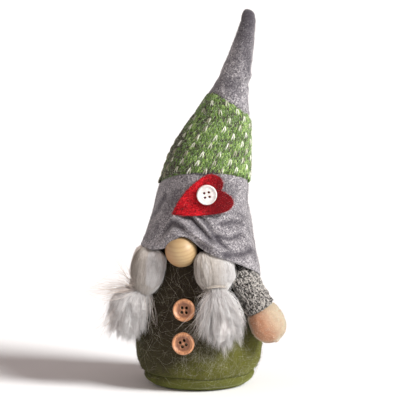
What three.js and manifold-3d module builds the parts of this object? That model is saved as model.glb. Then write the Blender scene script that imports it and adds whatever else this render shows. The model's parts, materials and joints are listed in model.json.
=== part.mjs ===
/**
 * Tomte gnome figurine: a weighted plush body, a tall felt and knit hat with a bendable
 * tip, two fur braids, two plush arms, a wooden bead nose, a felt heart and round buttons.
 *
 * Units are millimetres, +Z is up and the gnome faces -Y. The origin is under the middle
 * of the base. "Left" and "right" are the gnome's own, so left is +X. A "turn" is an angle
 * in degrees about +Z, measured from the front towards the gnome's left.
 */
import * as THREE from 'three';
import { mergeVertices } from 'three/addons/utils/BufferGeometryUtils.js';
import Module from 'manifold-3d';

const wasm = await Module();
wasm.setup();

const { degToRad, radToDeg, lerp, smoothstep } = THREE.MathUtils;

// ---------------------------------------------------------------- driving dimensions

const GAP = 0.3; // kept between pieces that touch
const GLUE = 0.4; // between a flat glued piece and the round surface behind it
const CLOTH = 2;
const KNIT = 2.4;

// Outer surfaces of the base and the body, as [height, radius].
const BASE_PROFILE = [[0, 34], [2.5, 40], [9.9, 44]];
const BODY_PROFILE = [
  [10.3, 44], [20, 48.3], [33, 50], [48, 49.2], [64, 47.2], [80, 44.5],
  [96, 41], [113, 36.5], [126, 31], [138, 23], [146, 12], [149, 0],
];
const BASE_DISC = { radius: 32.5, bottom: 2.3, top: 3.8 };
const PELLET_PROFILE = [[4.2, 32], [8, 37.5], [14, 41], [20, 42.5], [27, 40], [30, 30]];
const STUFFING_FLOOR = 30.6;
const HEAD_FLOOR = 75; // the upper body, above this height, is what the nose and hat sit on

// The hat's centre line leans to the gnome's left: [height, lean, radius].
const HAT_STATIONS = [
  [84, 0, 47], [98, -0.5, 45.5], [111, -1, 44], [130, 0, 41], [143, 1, 37.5], [168, 6, 34.5],
  [188, 10, 31], [207, 16, 25], [226, 22, 17.5], [240, 27, 13.8], [258, 32, 10.4],
  [277, 37, 7.6], [292, 40.5, 5.4], [297, 41.2, 3.2],
];
const HAT_TOP = 300;
const HAT_STUFFING_FLOOR = 130;
const KNIT_SEAM = { height: 160.4, slant: 13.2, peakTurn: 15 };
const TIP_SEAM = { height: 221.3, slant: 13, peakTurn: -33 };
const BEND = { lower: 240.2, pivot: 243, upper: 245.8, apexGap: 0.3 };
const WIRE = { radius: 1, bore: 1.3, bottom: 152, top: 290, endGap: 0.8 };

// The brim hangs lowest behind the gnome's left, and rides up over the nose.
const BRIM_EDGE = { height: 97, slant: 16, peakTurn: -40 };
const BRIM_SWEEP = { turn: 28, rise: 8.5, rightWidth: 30, leftWidth: 30 };
const NOSE_ARCH = { turn: 0.5, rise: 11.8, rightWidth: 9, leftWidth: 11 };
const FLARE_TOP = 140;
const BRIM_FLARES = [
  { turn: -2, width: 12, reach: 13.5, full: 122 }, // over the nose
  { turn: 34, width: 17, reach: 15.4, full: 107 }, // over the left braid
  { turn: 59, width: 18, reach: 14, full: 104 }, // over the left arm
  { turn: -41, width: 15, reach: 10.2, full: 110 }, // over the right braid
  { turn: -119, width: 21, reach: 6.8, full: 102 }, // over the right arm
];

// Heights of the rings of the soft tip and of the filling below and above the bend.
const TIP_HEIGHTS = [252, 260, 270, 280, 290, 297];
const TIP_CROWN_DRIFT = 0.3;
const HAT_STUFFING_HEIGHTS = [145, 160, 175, 190, 205, 220, 232];
const TIP_STUFFING_HEIGHTS = [258, 272, 284];
const KNIT_ROWS = 6;
const TIP_BASE_ROWS = 2;

const NOSE = { radius: 12.7, across: -2.5, forward: 43.9, height: 113, clearance: 13.1 };
const WOOD_BUTTON = { radius: 9, thickness: 4, rim: 2.2, dish: 1, hole: 1.1, spread: 1.8 };
const HEART_BUTTON = { radius: 8, thickness: 3.2, rim: 1.8, dish: 0.8, hole: 0.85, spread: 1.8 };
const BUTTON_BEVEL = 0.8;
const COAT_BUTTONS = [
  { name: 'coat_button_upper', turn: 1.2, height: 66.6, spin: 0 },
  { name: 'coat_button_lower', turn: 1.2, height: 40.7, spin: 30 },
];

// The heart lies on the brim: its axis climbs from its point towards the gnome's left.
const HEART = { turn: 16.8, height: 153.4, climb: 28.6, middle: 26, thickness: 2, standOff: 0.5 };
// One side of the heart, from its point round its lobe to its cusp, as curves [x1, y1, x2, y2, x, y].
const HEART_CURVES = [
  [5, 3.4, 22, 13.6, 35, 16.6], [40.5, 18, 44.4, 14.5, 44.2, 9.8], [44.1, 6.5, 42.6, 2.8, 40.5, 0],
];
const HEART_CURVE_STEPS = 6;
const HEART_SHARES = [0.2, 0.45, 0.72, 1];
const HEART_BUTTON_PLACE = { turn: 18.7, height: 157.1, spin: 10 };

// Arms hang from a hinge under the brim. Each is laid along a line to the hand's middle.
const ARMS = [
  { side: 'left', hinge: [49.6, 58, 92.5], hand: [63.5, 72.8, 54] },
  { side: 'right', hinge: [49.0, -116, 92.5], hand: [61.8, -111, 53.5] },
];
const SHOULDER_RADIUS = 6.8;
const SHOULDER_SHARES = [0.98, 0.8, 0.45];
const SHOULDER_HALF_WIDTHS = [7, 11]; // at its top and at the hinge
// Below the hinge: [distance, half width, half depth].
const SLEEVE_STATIONS = [[0, 11, 6.8], [10, 11.4, 7.8], [20, 12, 9], [30.2, 12.6, 10]];
const HAND_STATIONS = [
  [30.6, 12.3, 9.6], [35.8, 14.5, 11.4], [43.9, 15.5, 12.2], [51.8, 13.5, 11], [56.8, 9, 8],
];
const HAND_END = 60.2;

// Each braid hangs from a pivot under the brim to its tie, and the loose tuft hangs below.
const BRAIDS = [
  { side: 'left', pivot: [47, 29, 107], tie: [51, 30.5, 86], tuft: [60.5, 33, 45], size: 1 },
  { side: 'right', pivot: [46.6, -39, 106.5], tie: [51.3, -43.5, 82], tuft: [63, -54, 44], size: 0.95 },
];
const BRAID_PIVOT_RADIUS = 7;
const STRAND = { offset: 7.2, neckOffset: 3.9, neckWidth: 3.6, neckDepth: 4.2 };
// Above a braid's pivot, as shares of its radius, and below it, as shares of its length:
// [share, change of offset, half width, half depth].
const LOBE_TOP = [[0.98, 0, 1.8, 1.4], [0.75, 0, 4.9, 4.6], [0.4, 0, 6.3, 6.4]];
const LOBE_BODY = [[0, 0, 6.8, 7], [0.45, 0, 6.8, 7.4], [0.8, -0.4, 6.4, 6]];
const TIE = { halfHeight: 0.9, innerWidth: 8, innerDepth: 5.4, wall: 1.2 };
const TUFT_PIVOT_BELOW_TIE = 7.5;
// Above and below the tuft's pivot: [height, half width, half depth].
const TUFT_STATIONS = [
  [4.8, 7, 2.2], [2.5, 8.6, 4.4], [0, 10.5, 5.5], [-7, 16, 7], [-16, 19.5, 8.5],
  [-26, 19.5, 8.5], [-33, 15, 7], [-38, 9, 4.5],
];
const TUFT_END = -41;

// How finely round things are divided.
const BODY_SEGMENTS = 28;
const HAT_SEGMENTS = 45;
const TIP_SEGMENTS = 14;
const LIMB_SEGMENTS = 14;
const SMALL_SEGMENTS = 10;
const DISC_SEGMENTS = 20;
const HOLE_SEGMENTS = 6;
const WIRE_STEPS = 5;
const BRIM_ROWS = 7;

const MATERIALS = {
  greyFelt: { color: 0x8a8488, roughness: 0.95 },
  greenKnit: { color: 0x6f8a52, roughness: 0.95 },
  redFelt: { color: 0xb01f2b, roughness: 0.9 },
  paleButton: { color: 0xd8d2cc, roughness: 0.35 },
  paleWood: { color: 0xd9b98a, roughness: 0.55 },
  buttonWood: { color: 0x9b6e55, roughness: 0.6 },
  olivePlush: { color: 0x3d3a28, roughness: 0.9 },
  greenPlush: { color: 0x5a5a38, roughness: 0.9 },
  tweed: { color: 0x6a665f, roughness: 0.95 },
  peachFleece: { color: 0xd8ae90, roughness: 0.95 },
  whiteFur: { color: 0xd8d4d0, roughness: 0.9 },
  thread: { color: 0xcfc8bf, roughness: 0.8 },
  stuffing: { color: 0xf0efe9, roughness: 1 },
  wire: { color: 0x8c8f92, roughness: 0.4, metalness: 0.9 },
  card: { color: 0xb59b74, roughness: 0.9 },
  pelletCloth: { color: 0xddd8cc, roughness: 0.9 },
};

// ---------------------------------------------------------------- geometry helpers

/** The point at a radius and turn about the vertical axis. */
function around(radius, turn, height) {
  const angle = degToRad(turn);
  return new THREE.Vector3(radius * Math.sin(angle), -radius * Math.cos(angle), height);
}

/** Merge shared corners, drop empty triangles and face every triangle outwards. */
function closedSurface(geometry) {
  geometry.deleteAttribute('normal');
  geometry.deleteAttribute('uv');
  const merged = mergeVertices(geometry, 1e-4);
  const position = merged.getAttribute('position');
  const corner = (i) => new THREE.Vector3().fromBufferAttribute(position, i);
  const triangles = [];
  let volume = 0;
  for (let t = 0; t < merged.index.count; t += 3) {
    const [a, b, c] = [0, 1, 2].map((k) => merged.index.getX(t + k));
    if (a !== b && b !== c && c !== a) {
      triangles.push([a, b, c]);
      volume += corner(a).dot(corner(b).cross(corner(c)));
    }
  }
  merged.setIndex(triangles.flatMap(([a, b, c]) => (volume > 0 ? [a, b, c] : [a, c, b])));
  return merged;
}

/** Turn an outline of [height, radius] points, which ends on the axis, about that axis. */
function turned(outline, segments) {
  const points = outline.map(([height, radius]) => new THREE.Vector2(radius, height));
  return closedSurface(new THREE.LatheGeometry(points, segments).rotateX(Math.PI / 2));
}

/** Move a rising outer profile of [height, radius] points inwards, square to itself. */
function insetProfile(profile, depth) {
  return profile.map(([height, radius], i) => {
    const [h0, r0] = profile[Math.max(i - 1, 0)];
    const [h1, r1] = profile[Math.min(i + 1, profile.length - 1)];
    const length = Math.hypot(h1 - h0, r1 - r0);
    const inner = radius === 0 ? 0 : radius - (depth * (h1 - h0)) / length;
    return [height + (depth * (r1 - r0)) / length, inner];
  });
}

/**
 * Skin a closed surface through rings of equal length. A loop joins the last ring to the
 * first, and otherwise each end is closed with a fan about its own middle.
 */
function throughRings(rings, loop = false) {
  const count = rings[0].length;
  const points = rings.flat();
  const index = [];
  const bands = loop ? rings.length : rings.length - 1;
  for (let ring = 0; ring < bands; ring += 1) {
    const next = (ring + 1) % rings.length;
    for (let i = 0; i < count; i += 1) {
      const j = (i + 1) % count;
      const [a, b] = [ring * count + i, ring * count + j];
      const [c, d] = [next * count + j, next * count + i];
      index.push(a, b, c, a, c, d);
    }
  }
  if (!loop) {
    for (const first of [0, (rings.length - 1) * count]) {
      const middle = points.length;
      const ring = rings[first / count];
      points.push(ring.reduce((sum, p) => sum.add(p), new THREE.Vector3()).divideScalar(count));
      for (let i = 0; i < count; i += 1) {
        const edge = [first + i, first + ((i + 1) % count)];
        index.push(middle, ...(first === 0 ? edge.reverse() : edge));
      }
    }
  }
  const geometry = new THREE.BufferGeometry().setFromPoints(points);
  geometry.setIndex(index);
  return closedSurface(geometry);
}

/** An oval across local Z. */
function ovalRing(z, halfWidth, halfDepth, segments, offset = 0) {
  return Array.from({ length: segments }, (_, i) => {
    const angle = (i / segments) * 2 * Math.PI;
    return new THREE.Vector3(offset + halfWidth * Math.cos(angle), halfDepth * Math.sin(angle), z);
  });
}

function toManifold(geometry) {
  const mesh = new wasm.Mesh({
    numProp: 3,
    vertProperties: Float32Array.from(geometry.getAttribute('position').array),
    triVerts: Uint32Array.from(geometry.index.array),
  });
  return new wasm.Manifold(mesh);
}

/** Cut one or more closed surfaces out of another. */
function cut(geometry, tools) {
  const result = tools.reduce((rest, tool) => rest.subtract(toManifold(tool)), toManifold(geometry));
  const mesh = result.getMesh();
  const cutGeometry = new THREE.BufferGeometry();
  cutGeometry.setAttribute('position', new THREE.BufferAttribute(mesh.vertProperties, 3));
  cutGeometry.setIndex(new THREE.BufferAttribute(mesh.triVerts, 1));
  return closedSurface(cutGeometry);
}

/** A named mesh with a material of its own. */
function piece(name, materialName, geometry) {
  geometry.computeVertexNormals();
  const material = new THREE.MeshStandardMaterial({ name: materialName, ...MATERIALS[materialName] });
  const mesh = new THREE.Mesh(geometry, material);
  mesh.name = name;
  return mesh;
}

/**
 * A named group at a pivot whose local -Z runs towards a target. Its local Y faces away
 * from the body, so a positive turn about its local X lifts the piece outwards.
 */
function hangingGroup(name, pivot, target) {
  const up = pivot.clone().sub(target).normalize();
  const outward = new THREE.Vector3(pivot.x, pivot.y, 0).normalize();
  const y = outward.addScaledVector(up, -outward.dot(up)).normalize();
  const x = new THREE.Vector3().crossVectors(y, up);
  const group = new THREE.Group();
  group.name = name;
  group.applyMatrix4(new THREE.Matrix4().makeBasis(x, y, up));
  group.position.copy(pivot);
  group.updateMatrixWorld(true);
  return group;
}

// ---------------------------------------------------------------- body

function basePanel() {
  const inner = insetProfile(BASE_PROFILE, CLOTH);
  const outline = [[0, 0], ...BASE_PROFILE, ...inner.reverse(), [inner.at(-1)[0], 0]];
  return piece('base_panel', 'greenPlush', turned(outline, BODY_SEGMENTS));
}

function baseDisc() {
  const { radius, bottom, top } = BASE_DISC;
  const outline = [[bottom, 0], [bottom, radius], [top, radius], [top, 0]];
  return piece('base_disc', 'card', turned(outline, DISC_SEGMENTS));
}

function pelletBag() {
  const outline = [[PELLET_PROFILE[0][0], 0], ...PELLET_PROFILE, [PELLET_PROFILE.at(-1)[0], 0]];
  return piece('pellet_bag', 'pelletCloth', turned(outline, DISC_SEGMENTS));
}

function bodyCover() {
  const outline = [...BODY_PROFILE, ...insetProfile(BODY_PROFILE, CLOTH).reverse()];
  return piece('body_cover', 'olivePlush', turned([...outline, outline[0]], BODY_SEGMENTS));
}

function bodyStuffing() {
  const wall = insetProfile(BODY_PROFILE, CLOTH + GAP).filter(([height]) => height > STUFFING_FLOOR);
  const outline = [[STUFFING_FLOOR, 0], [STUFFING_FLOOR, wall[0][1] - 1], ...wall];
  return piece('body_stuffing', 'stuffing', turned(outline, DISC_SEGMENTS));
}

/** The upper body as a solid, grown by a clearance, for cutting what sits on it. */
function grownHead(clearance) {
  const dome = insetProfile(BODY_PROFILE, -clearance).filter(([height]) => height > HEAD_FLOOR);
  return turned([[dome[0][0], 0], ...dome], BODY_SEGMENTS);
}

// ---------------------------------------------------------------- hat

/** A smooth function of height through one column of the hat's stations. */
function hatCurve(column) {
  const heights = HAT_STATIONS.map((station) => station[0]);
  const values = HAT_STATIONS.map((station) => station[column]);
  const interpolant = new THREE.CubicInterpolant(heights, values, 1);
  return (height) => interpolant.evaluate(height)[0];
}

const hatLean = hatCurve(1);
const hatRadius = hatCurve(2);

/** Signed turn from one angle to another, in degrees, between -180 and 180. */
function turnBetween(from, to) {
  return THREE.MathUtils.euclideanModulo(to - from + 180, 360) - 180;
}

/** How far the brim stands out from the plain cone where it clears what is under it. */
function flareAt(turn, height) {
  const bumps = BRIM_FLARES.map(({ turn: middle, width, reach, full }) => {
    const across = turnBetween(middle, turn) / width;
    return reach * Math.exp(-(across ** 2) / 2) * (1 - smoothstep(height, full, FLARE_TOP));
  });
  return Math.max(...bumps);
}

/** The hat's plain cone, moved inwards by `inset`, at a turn and height. */
function conePoint(turn, height, inset = 0) {
  const centre = new THREE.Vector3(hatLean(height), 0, 0);
  return around(hatRadius(height) - inset, turn, height).add(centre);
}

/** The hat's outer surface, with its flared brim, moved inwards by `inset`. */
function hatPoint(turn, height, inset = 0) {
  return conePoint(turn, height, inset - flareAt(turn, height));
}

function slantedHeight({ height, slant, peakTurn }, turn) {
  return height + slant * Math.cos(degToRad(turn - peakTurn));
}

/** How far one arch lifts the brim's edge. */
function archRise({ turn: middle, rise, rightWidth, leftWidth }, turn) {
  const across = turnBetween(middle, turn);
  const width = across < 0 ? rightWidth : leftWidth;
  return rise * Math.exp(-(across ** 2) / (2 * width ** 2));
}

function brimEdgeHeight(turn) {
  return slantedHeight(BRIM_EDGE, turn) + archRise(BRIM_SWEEP, turn) + archRise(NOSE_ARCH, turn);
}

/** A ring round the hat at the height given for each turn. */
function hatRing(heightAt, inset, segments, pointAt = hatPoint) {
  return Array.from({ length: segments }, (_, i) => {
    const turn = (i / segments) * 360;
    return pointAt(turn, heightAt(turn), inset);
  });
}

/** Rings between two edges, from the lower to the upper. */
function hatRings(lowerAt, upperAt, inset, rows, segments) {
  return Array.from({ length: rows + 1 }, (_, row) =>
    hatRing((turn) => lerp(lowerAt(turn), upperAt(turn), row / rows), inset, segments));
}

/** A band of the hat between two edges, open at both. */
function hatBand(lowerAt, upperAt, thickness, rows, segments) {
  const outer = hatRings(lowerAt, upperAt, 0, rows, segments);
  const inner = hatRings(lowerAt, upperAt, thickness, rows, segments);
  return throughRings([...outer, ...inner.reverse()], true);
}

function hatBrim() {
  const top = (turn) => slantedHeight(KNIT_SEAM, turn) - GAP / 2;
  const band = hatBand(brimEdgeHeight, top, CLOTH, BRIM_ROWS, HAT_SEGMENTS);
  return piece('hat_brim', 'greyFelt', cut(band, [noseSphere(NOSE.clearance)]));
}

/** The brim as a solid, grown by the gap, for shaping what lies on it. */
function grownBrim() {
  const seam = (turn) => slantedHeight(KNIT_SEAM, turn) - GAP / 2;
  const above = (turn) => seam(turn) + KNIT_SEAM.slant;
  const rings = hatRings(brimEdgeHeight, seam, -GAP, BRIM_ROWS, HAT_SEGMENTS);
  return throughRings([...rings, hatRing(above, -GAP, HAT_SEGMENTS)]);
}

function hatKnitBand() {
  const bottom = (turn) => slantedHeight(KNIT_SEAM, turn) + GAP / 2;
  const top = (turn) => slantedHeight(TIP_SEAM, turn) - GAP / 2;
  return piece('hat_knit_band', 'greenKnit', hatBand(bottom, top, KNIT, KNIT_ROWS, DISC_SEGMENTS));
}

function hatTipBase() {
  const bottom = (turn) => slantedHeight(TIP_SEAM, turn) + GAP / 2;
  const band = hatBand(bottom, () => BEND.lower, CLOTH, TIP_BASE_ROWS, DISC_SEGMENTS);
  return piece('hat_tip_base', 'greyFelt', band);
}

function hatTip() {
  const heights = [BEND.upper, ...TIP_HEIGHTS];
  const ring = (inset) => (height) => hatRing(() => height, inset, TIP_SEGMENTS);
  const lean = hatLean(heights.at(-1)) + TIP_CROWN_DRIFT;
  const crown = Array(TIP_SEGMENTS).fill(new THREE.Vector3(lean, 0, HAT_TOP));
  const lining = heights.slice(0, -1).map(ring(CLOTH));
  const geometry = throughRings([crown, ...heights.map(ring(0)).reverse(), ...lining]);
  return piece('hat_tip', 'greyFelt', geometry);
}

/** A round bar along the hat's leaning centre line. */
function hatBar(radius, bottom, top) {
  const route = Array.from({ length: WIRE_STEPS + 1 }, (_, i) => {
    const height = lerp(bottom, top, i / WIRE_STEPS);
    return new THREE.Vector3(hatLean(height), 0, height);
  });
  const section = new THREE.Shape().absarc(0, 0, radius, 0, 2 * Math.PI);
  const extrudePath = new THREE.CatmullRomCurve3(route);
  const options = { steps: WIRE_STEPS, extrudePath, curveSegments: HOLE_SEGMENTS };
  return closedSurface(new THREE.ExtrudeGeometry(section, options));
}

function hatStuffing() {
  const heights = [HAT_STUFFING_FLOOR, ...HAT_STUFFING_HEIGHTS, BEND.lower];
  const inset = KNIT + 2 * GAP;
  const rings = heights.map((height) => hatRing(() => height, inset, DISC_SEGMENTS, conePoint));
  const apex = new THREE.Vector3(hatLean(BEND.pivot), 0, BEND.pivot - BEND.apexGap);
  const plug = throughRings([...rings, Array(DISC_SEGMENTS).fill(apex)]);
  const bore = hatBar(WIRE.bore, WIRE.bottom - WIRE.endGap, BEND.pivot);
  return piece('hat_stuffing', 'stuffing', cut(plug, [grownHead(GAP), bore]));
}

function hatTipStuffing() {
  const heights = [BEND.upper, ...TIP_STUFFING_HEIGHTS];
  const rings = heights.map((height) => hatRing(() => height, CLOTH + GAP, TIP_SEGMENTS));
  const apex = new THREE.Vector3(hatLean(BEND.pivot), 0, BEND.pivot + BEND.apexGap);
  const plug = throughRings([Array(TIP_SEGMENTS).fill(apex), ...rings]);
  return piece('hat_tip_stuffing', 'stuffing', cut(plug, [hatBar(WIRE.bore, BEND.pivot, WIRE.top)]));
}

// ---------------------------------------------------------------- nose, buttons and heart

function noseSphere(radius) {
  const sphere = new THREE.SphereGeometry(radius, DISC_SEGMENTS, SMALL_SEGMENTS);
  return closedSurface(sphere.translate(NOSE.across, -NOSE.forward, NOSE.height));
}

/** The bead, with its back hollowed to sit on the body. */
function noseBall() {
  return piece('nose_ball', 'paleWood', cut(noseSphere(NOSE.radius), [grownHead(GLUE)]));
}

/** A four-hole button whose back lies at z = 0. */
function buttonGeometry({ radius, thickness, rim, dish, hole, spread }) {
  const floor = thickness - dish;
  const face = radius - BUTTON_BEVEL;
  const outline = [
    [0, 0], [0, face], [BUTTON_BEVEL, radius], [thickness - BUTTON_BEVEL, radius],
    [thickness, face], [thickness, radius - rim], [floor, radius - rim - dish], [floor, 0],
  ];
  const holes = [[1, 1], [-1, 1], [-1, -1], [1, -1]].map(([x, y]) => {
    const drill = new THREE.CylinderGeometry(hole, hole, 3 * thickness, HOLE_SEGMENTS).rotateX(Math.PI / 2);
    return closedSurface(drill.translate(x * spread, y * spread, 0));
  });
  return cut(turned(outline, DISC_SEGMENTS), holes);
}

/** Lay a flat-backed piece against a surface, with its face along the surface normal. */
function layAgainst(mesh, point, normal, standOff, spin) {
  const up = new THREE.Vector3(0, 0, 1);
  const facing = new THREE.Quaternion().setFromUnitVectors(up, normal);
  mesh.quaternion.copy(facing.multiply(new THREE.Quaternion().setFromAxisAngle(up, degToRad(spin))));
  mesh.position.copy(point).addScaledVector(normal, standOff);
  return mesh;
}

/** The body's radius at a height, and how much it shrinks per millimetre of height. */
function bodyWall(height) {
  const above = BODY_PROFILE.findIndex(([z]) => z > height);
  const [[z0, r0], [z1, r1]] = [BODY_PROFILE[above - 1], BODY_PROFILE[above]];
  return { radius: lerp(r0, r1, (height - z0) / (z1 - z0)), taper: (r0 - r1) / (z1 - z0) };
}

function coatButton({ name, turn, height, spin }) {
  const { radius, taper } = bodyWall(height);
  const normal = around(1, turn, taper).normalize();
  const button = piece(name, 'buttonWood', buttonGeometry(WOOD_BUTTON));
  return layAgainst(button, around(radius, turn, height), normal, GLUE, spin);
}

/** The heart's flat outline, from its point along +X, with its lobes beyond the cusp. */
function heartOutline() {
  const shape = new THREE.Shape();
  shape.moveTo(0, 0);
  HEART_CURVES.forEach((curve) => shape.bezierCurveTo(...curve));
  const starts = [[0, 0], ...HEART_CURVES.map((curve) => curve.slice(4))];
  for (let i = HEART_CURVES.length - 1; i >= 0; i -= 1) {
    const [x1, y1, x2, y2] = HEART_CURVES[i];
    const [x, y] = starts[i];
    shape.bezierCurveTo(x2, -y2, x1, -y1, x, -y);
  }
  return shape.getPoints(HEART_CURVE_STEPS).slice(0, -1);
}

/** A point of the heart's plane, laid on the brim at a distance from its outer surface. */
function onBrim({ x, y }, standOff) {
  const along = x - HEART.middle;
  const climb = degToRad(HEART.climb);
  const height = HEART.height + along * Math.sin(climb) + y * Math.cos(climb);
  const sideways = along * Math.cos(climb) - y * Math.sin(climb);
  const turn = HEART.turn + radToDeg(sideways / hatRadius(height));
  return hatPoint(turn, height, -standOff);
}

function heartApplique() {
  const outline = heartOutline();
  const centre = new THREE.Vector2(HEART.middle, 0);
  const scaled = (scale, standOff) =>
    outline.map((point) => onBrim(point.clone().sub(centre).multiplyScalar(scale).add(centre), standOff));
  const back = HEART_SHARES.map((scale) => scaled(scale, HEART.standOff));
  const front = HEART_SHARES.map((scale) => scaled(scale, HEART.standOff + HEART.thickness));
  const layer = throughRings([...back, ...front.reverse()]);
  return piece('heart_applique', 'redFelt', cut(layer, [grownBrim()]));
}

function heartButton() {
  const { turn, height, spin } = HEART_BUTTON_PLACE;
  const step = 2;
  const across = hatPoint(turn + step, height).sub(hatPoint(turn - step, height));
  const upward = hatPoint(turn, height + step).sub(hatPoint(turn, height - step));
  const normal = across.cross(upward).normalize();
  const button = piece('heart_button', 'paleButton', buttonGeometry(HEART_BUTTON));
  const standOff = HEART.standOff + HEART.thickness + GLUE;
  return layAgainst(button, hatPoint(turn, height), normal, standOff, spin);
}

// ---------------------------------------------------------------- arms

/** Rings of a sleeve, rounded over the hinge so that it can turn there. */
function sleeveRings(inset) {
  const crown = SHOULDER_SHARES.map((share) => {
    const ease = Math.sqrt(1 - share ** 2);
    const [halfWidth, halfDepth] = [lerp(...SHOULDER_HALF_WIDTHS, ease), SHOULDER_RADIUS * ease];
    const z = (SHOULDER_RADIUS - inset) * share;
    return ovalRing(z, halfWidth - inset, halfDepth * (1 - inset / SHOULDER_RADIUS), LIMB_SEGMENTS);
  });
  const rest = SLEEVE_STATIONS.map(([distance, halfWidth, halfDepth]) =>
    ovalRing(-distance, halfWidth - inset, halfDepth - inset, LIMB_SEGMENTS));
  return [...crown, ...rest];
}

function sleeve(side) {
  const rings = [...sleeveRings(0), ...sleeveRings(CLOTH).reverse()];
  return piece(`${side}_sleeve`, 'tweed', throughRings(rings));
}

function armStuffing(side) {
  return piece(`${side}_arm_stuffing`, 'stuffing', throughRings(sleeveRings(CLOTH + GAP)));
}

function hand(side) {
  const rings = HAND_STATIONS.map(([distance, halfWidth, halfDepth]) =>
    ovalRing(-distance, halfWidth, halfDepth, LIMB_SEGMENTS));
  const tip = Array(LIMB_SEGMENTS).fill(new THREE.Vector3(0, 0, -HAND_END));
  return piece(`${side}_hand`, 'peachFleece', throughRings([...rings, tip]));
}

function arm({ side, hinge, hand: handPlace }) {
  const group = hangingGroup(`${side}_arm`, around(...hinge), around(...handPlace));
  group.add(sleeve(side), armStuffing(side), hand(side));
  return group;
}

// ---------------------------------------------------------------- braids

/** One fur lobe of a braid, beside the braid's middle line. */
function strand(side, place, sign, length) {
  const { offset, neckOffset, neckWidth, neckDepth } = STRAND;
  const placed = (scale) => ([share, change, ...half]) => [share * scale, offset + change, ...half];
  const stations = [
    ...LOBE_TOP.map(placed(BRAID_PIVOT_RADIUS)),
    ...LOBE_BODY.map(placed(-length)),
    [-length + TIE.halfHeight, neckOffset, neckWidth, neckDepth],
    [-length - TIE.halfHeight, neckOffset, neckWidth, neckDepth],
  ];
  const rings = stations.map(([z, middle, width, depth]) =>
    ovalRing(z, width, depth, SMALL_SEGMENTS, sign * middle));
  return piece(`${side}_braid_strand_${place}`, 'whiteFur', throughRings(rings));
}

function braidTie(side, length) {
  const { halfHeight, innerWidth, innerDepth, wall } = TIE;
  const ring = (z, grow) =>
    ovalRing(z - length, innerWidth + grow, innerDepth + grow, LIMB_SEGMENTS);
  const rings = [ring(halfHeight, 0), ring(halfHeight, wall), ring(-halfHeight, wall), ring(-halfHeight, 0)];
  return piece(`${side}_braid_tie`, 'thread', throughRings(rings, true));
}

function tuft(side, size) {
  const rings = TUFT_STATIONS.map(([z, halfWidth, halfDepth]) =>
    ovalRing(z, halfWidth * size, halfDepth, LIMB_SEGMENTS));
  const end = Array(LIMB_SEGMENTS).fill(new THREE.Vector3(0, 0, TUFT_END));
  return piece(`${side}_braid_tuft`, 'whiteFur', throughRings([...rings, end]));
}

function braid({ side, pivot, tie, tuft: tuftPlace, size }) {
  const [top, knot, target] = [pivot, tie, tuftPlace].map((place) => around(...place));
  const length = top.distanceTo(knot);
  const group = hangingGroup(`${side}_braid`, top, knot);
  const outerSign = side === 'left' ? -1 : 1;
  group.add(
    strand(side, 'inner', -outerSign, length),
    strand(side, 'outer', outerSign, length),
    braidTie(side, length),
  );
  const below = knot.clone().sub(top).setLength(TUFT_PIVOT_BELOW_TIE);
  const tuftGroup = hangingGroup(`${side}_tuft`, knot.clone().add(below), target);
  tuftGroup.add(tuft(side, size));
  group.attach(tuftGroup);
  return group;
}

// ---------------------------------------------------------------- assembly

/** The hat's tip, in a group whose origin is the bend that it turns about. */
function hatTipGroup() {
  const group = new THREE.Group();
  group.name = 'hat_tip_bend';
  group.position.set(hatLean(BEND.pivot), 0, BEND.pivot);
  const upperWire = hatBar(WIRE.radius, BEND.pivot + WIRE.endGap, WIRE.top - WIRE.endGap);
  group.attach(hatTip());
  group.attach(hatTipStuffing());
  group.attach(piece('hat_wire_upper', 'wire', upperWire));
  return group;
}

const gnome = new THREE.Group();
gnome.name = 'tomte_gnome';
gnome.add(basePanel(), baseDisc(), pelletBag(), bodyCover(), bodyStuffing());
gnome.add(hatBrim(), hatKnitBand(), hatTipBase(), hatStuffing(), hatTipGroup());
gnome.add(piece('hat_wire_lower', 'wire', hatBar(WIRE.radius, WIRE.bottom, BEND.pivot - WIRE.endGap)));
gnome.add(heartApplique(), heartButton(), noseBall(), ...COAT_BUTTONS.map(coatButton));
gnome.add(...ARMS.map(arm), ...BRAIDS.map(braid));

export default gnome;
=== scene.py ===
"""Looks of the tomte gnome figurine: felt, knit, plush, tweed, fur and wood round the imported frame.

Lengths are in millimetres until a mesh is made. A turn is an angle in degrees about +Z, from the
front (-Y) towards the gnome's own left (+X). A limb has a frame of its own: its origin at its joint,
X along the joint's axis and -Z down the limb.
"""

import json
import math

import bpy
import numpy as np
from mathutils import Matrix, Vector
from mathutils.bvhtree import BVHTree


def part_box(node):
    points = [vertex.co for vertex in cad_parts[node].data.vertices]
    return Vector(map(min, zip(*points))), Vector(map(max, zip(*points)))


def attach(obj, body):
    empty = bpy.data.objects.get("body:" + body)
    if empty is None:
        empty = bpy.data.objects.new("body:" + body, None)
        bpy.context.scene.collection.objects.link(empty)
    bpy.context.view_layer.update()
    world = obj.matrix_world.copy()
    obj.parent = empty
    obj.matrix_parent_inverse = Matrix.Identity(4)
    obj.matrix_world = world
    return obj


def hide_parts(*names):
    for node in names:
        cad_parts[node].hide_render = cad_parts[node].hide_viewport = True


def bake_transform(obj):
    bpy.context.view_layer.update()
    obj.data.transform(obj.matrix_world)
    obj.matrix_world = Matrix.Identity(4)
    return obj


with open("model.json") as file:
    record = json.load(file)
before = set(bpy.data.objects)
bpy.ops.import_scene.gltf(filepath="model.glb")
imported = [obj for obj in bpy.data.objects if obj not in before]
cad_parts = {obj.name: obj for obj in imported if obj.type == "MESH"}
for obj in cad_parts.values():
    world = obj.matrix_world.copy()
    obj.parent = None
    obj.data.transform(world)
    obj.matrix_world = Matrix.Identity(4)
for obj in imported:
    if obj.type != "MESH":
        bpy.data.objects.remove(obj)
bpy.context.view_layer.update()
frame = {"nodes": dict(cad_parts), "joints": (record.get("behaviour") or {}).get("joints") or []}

MM = 0.001
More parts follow.
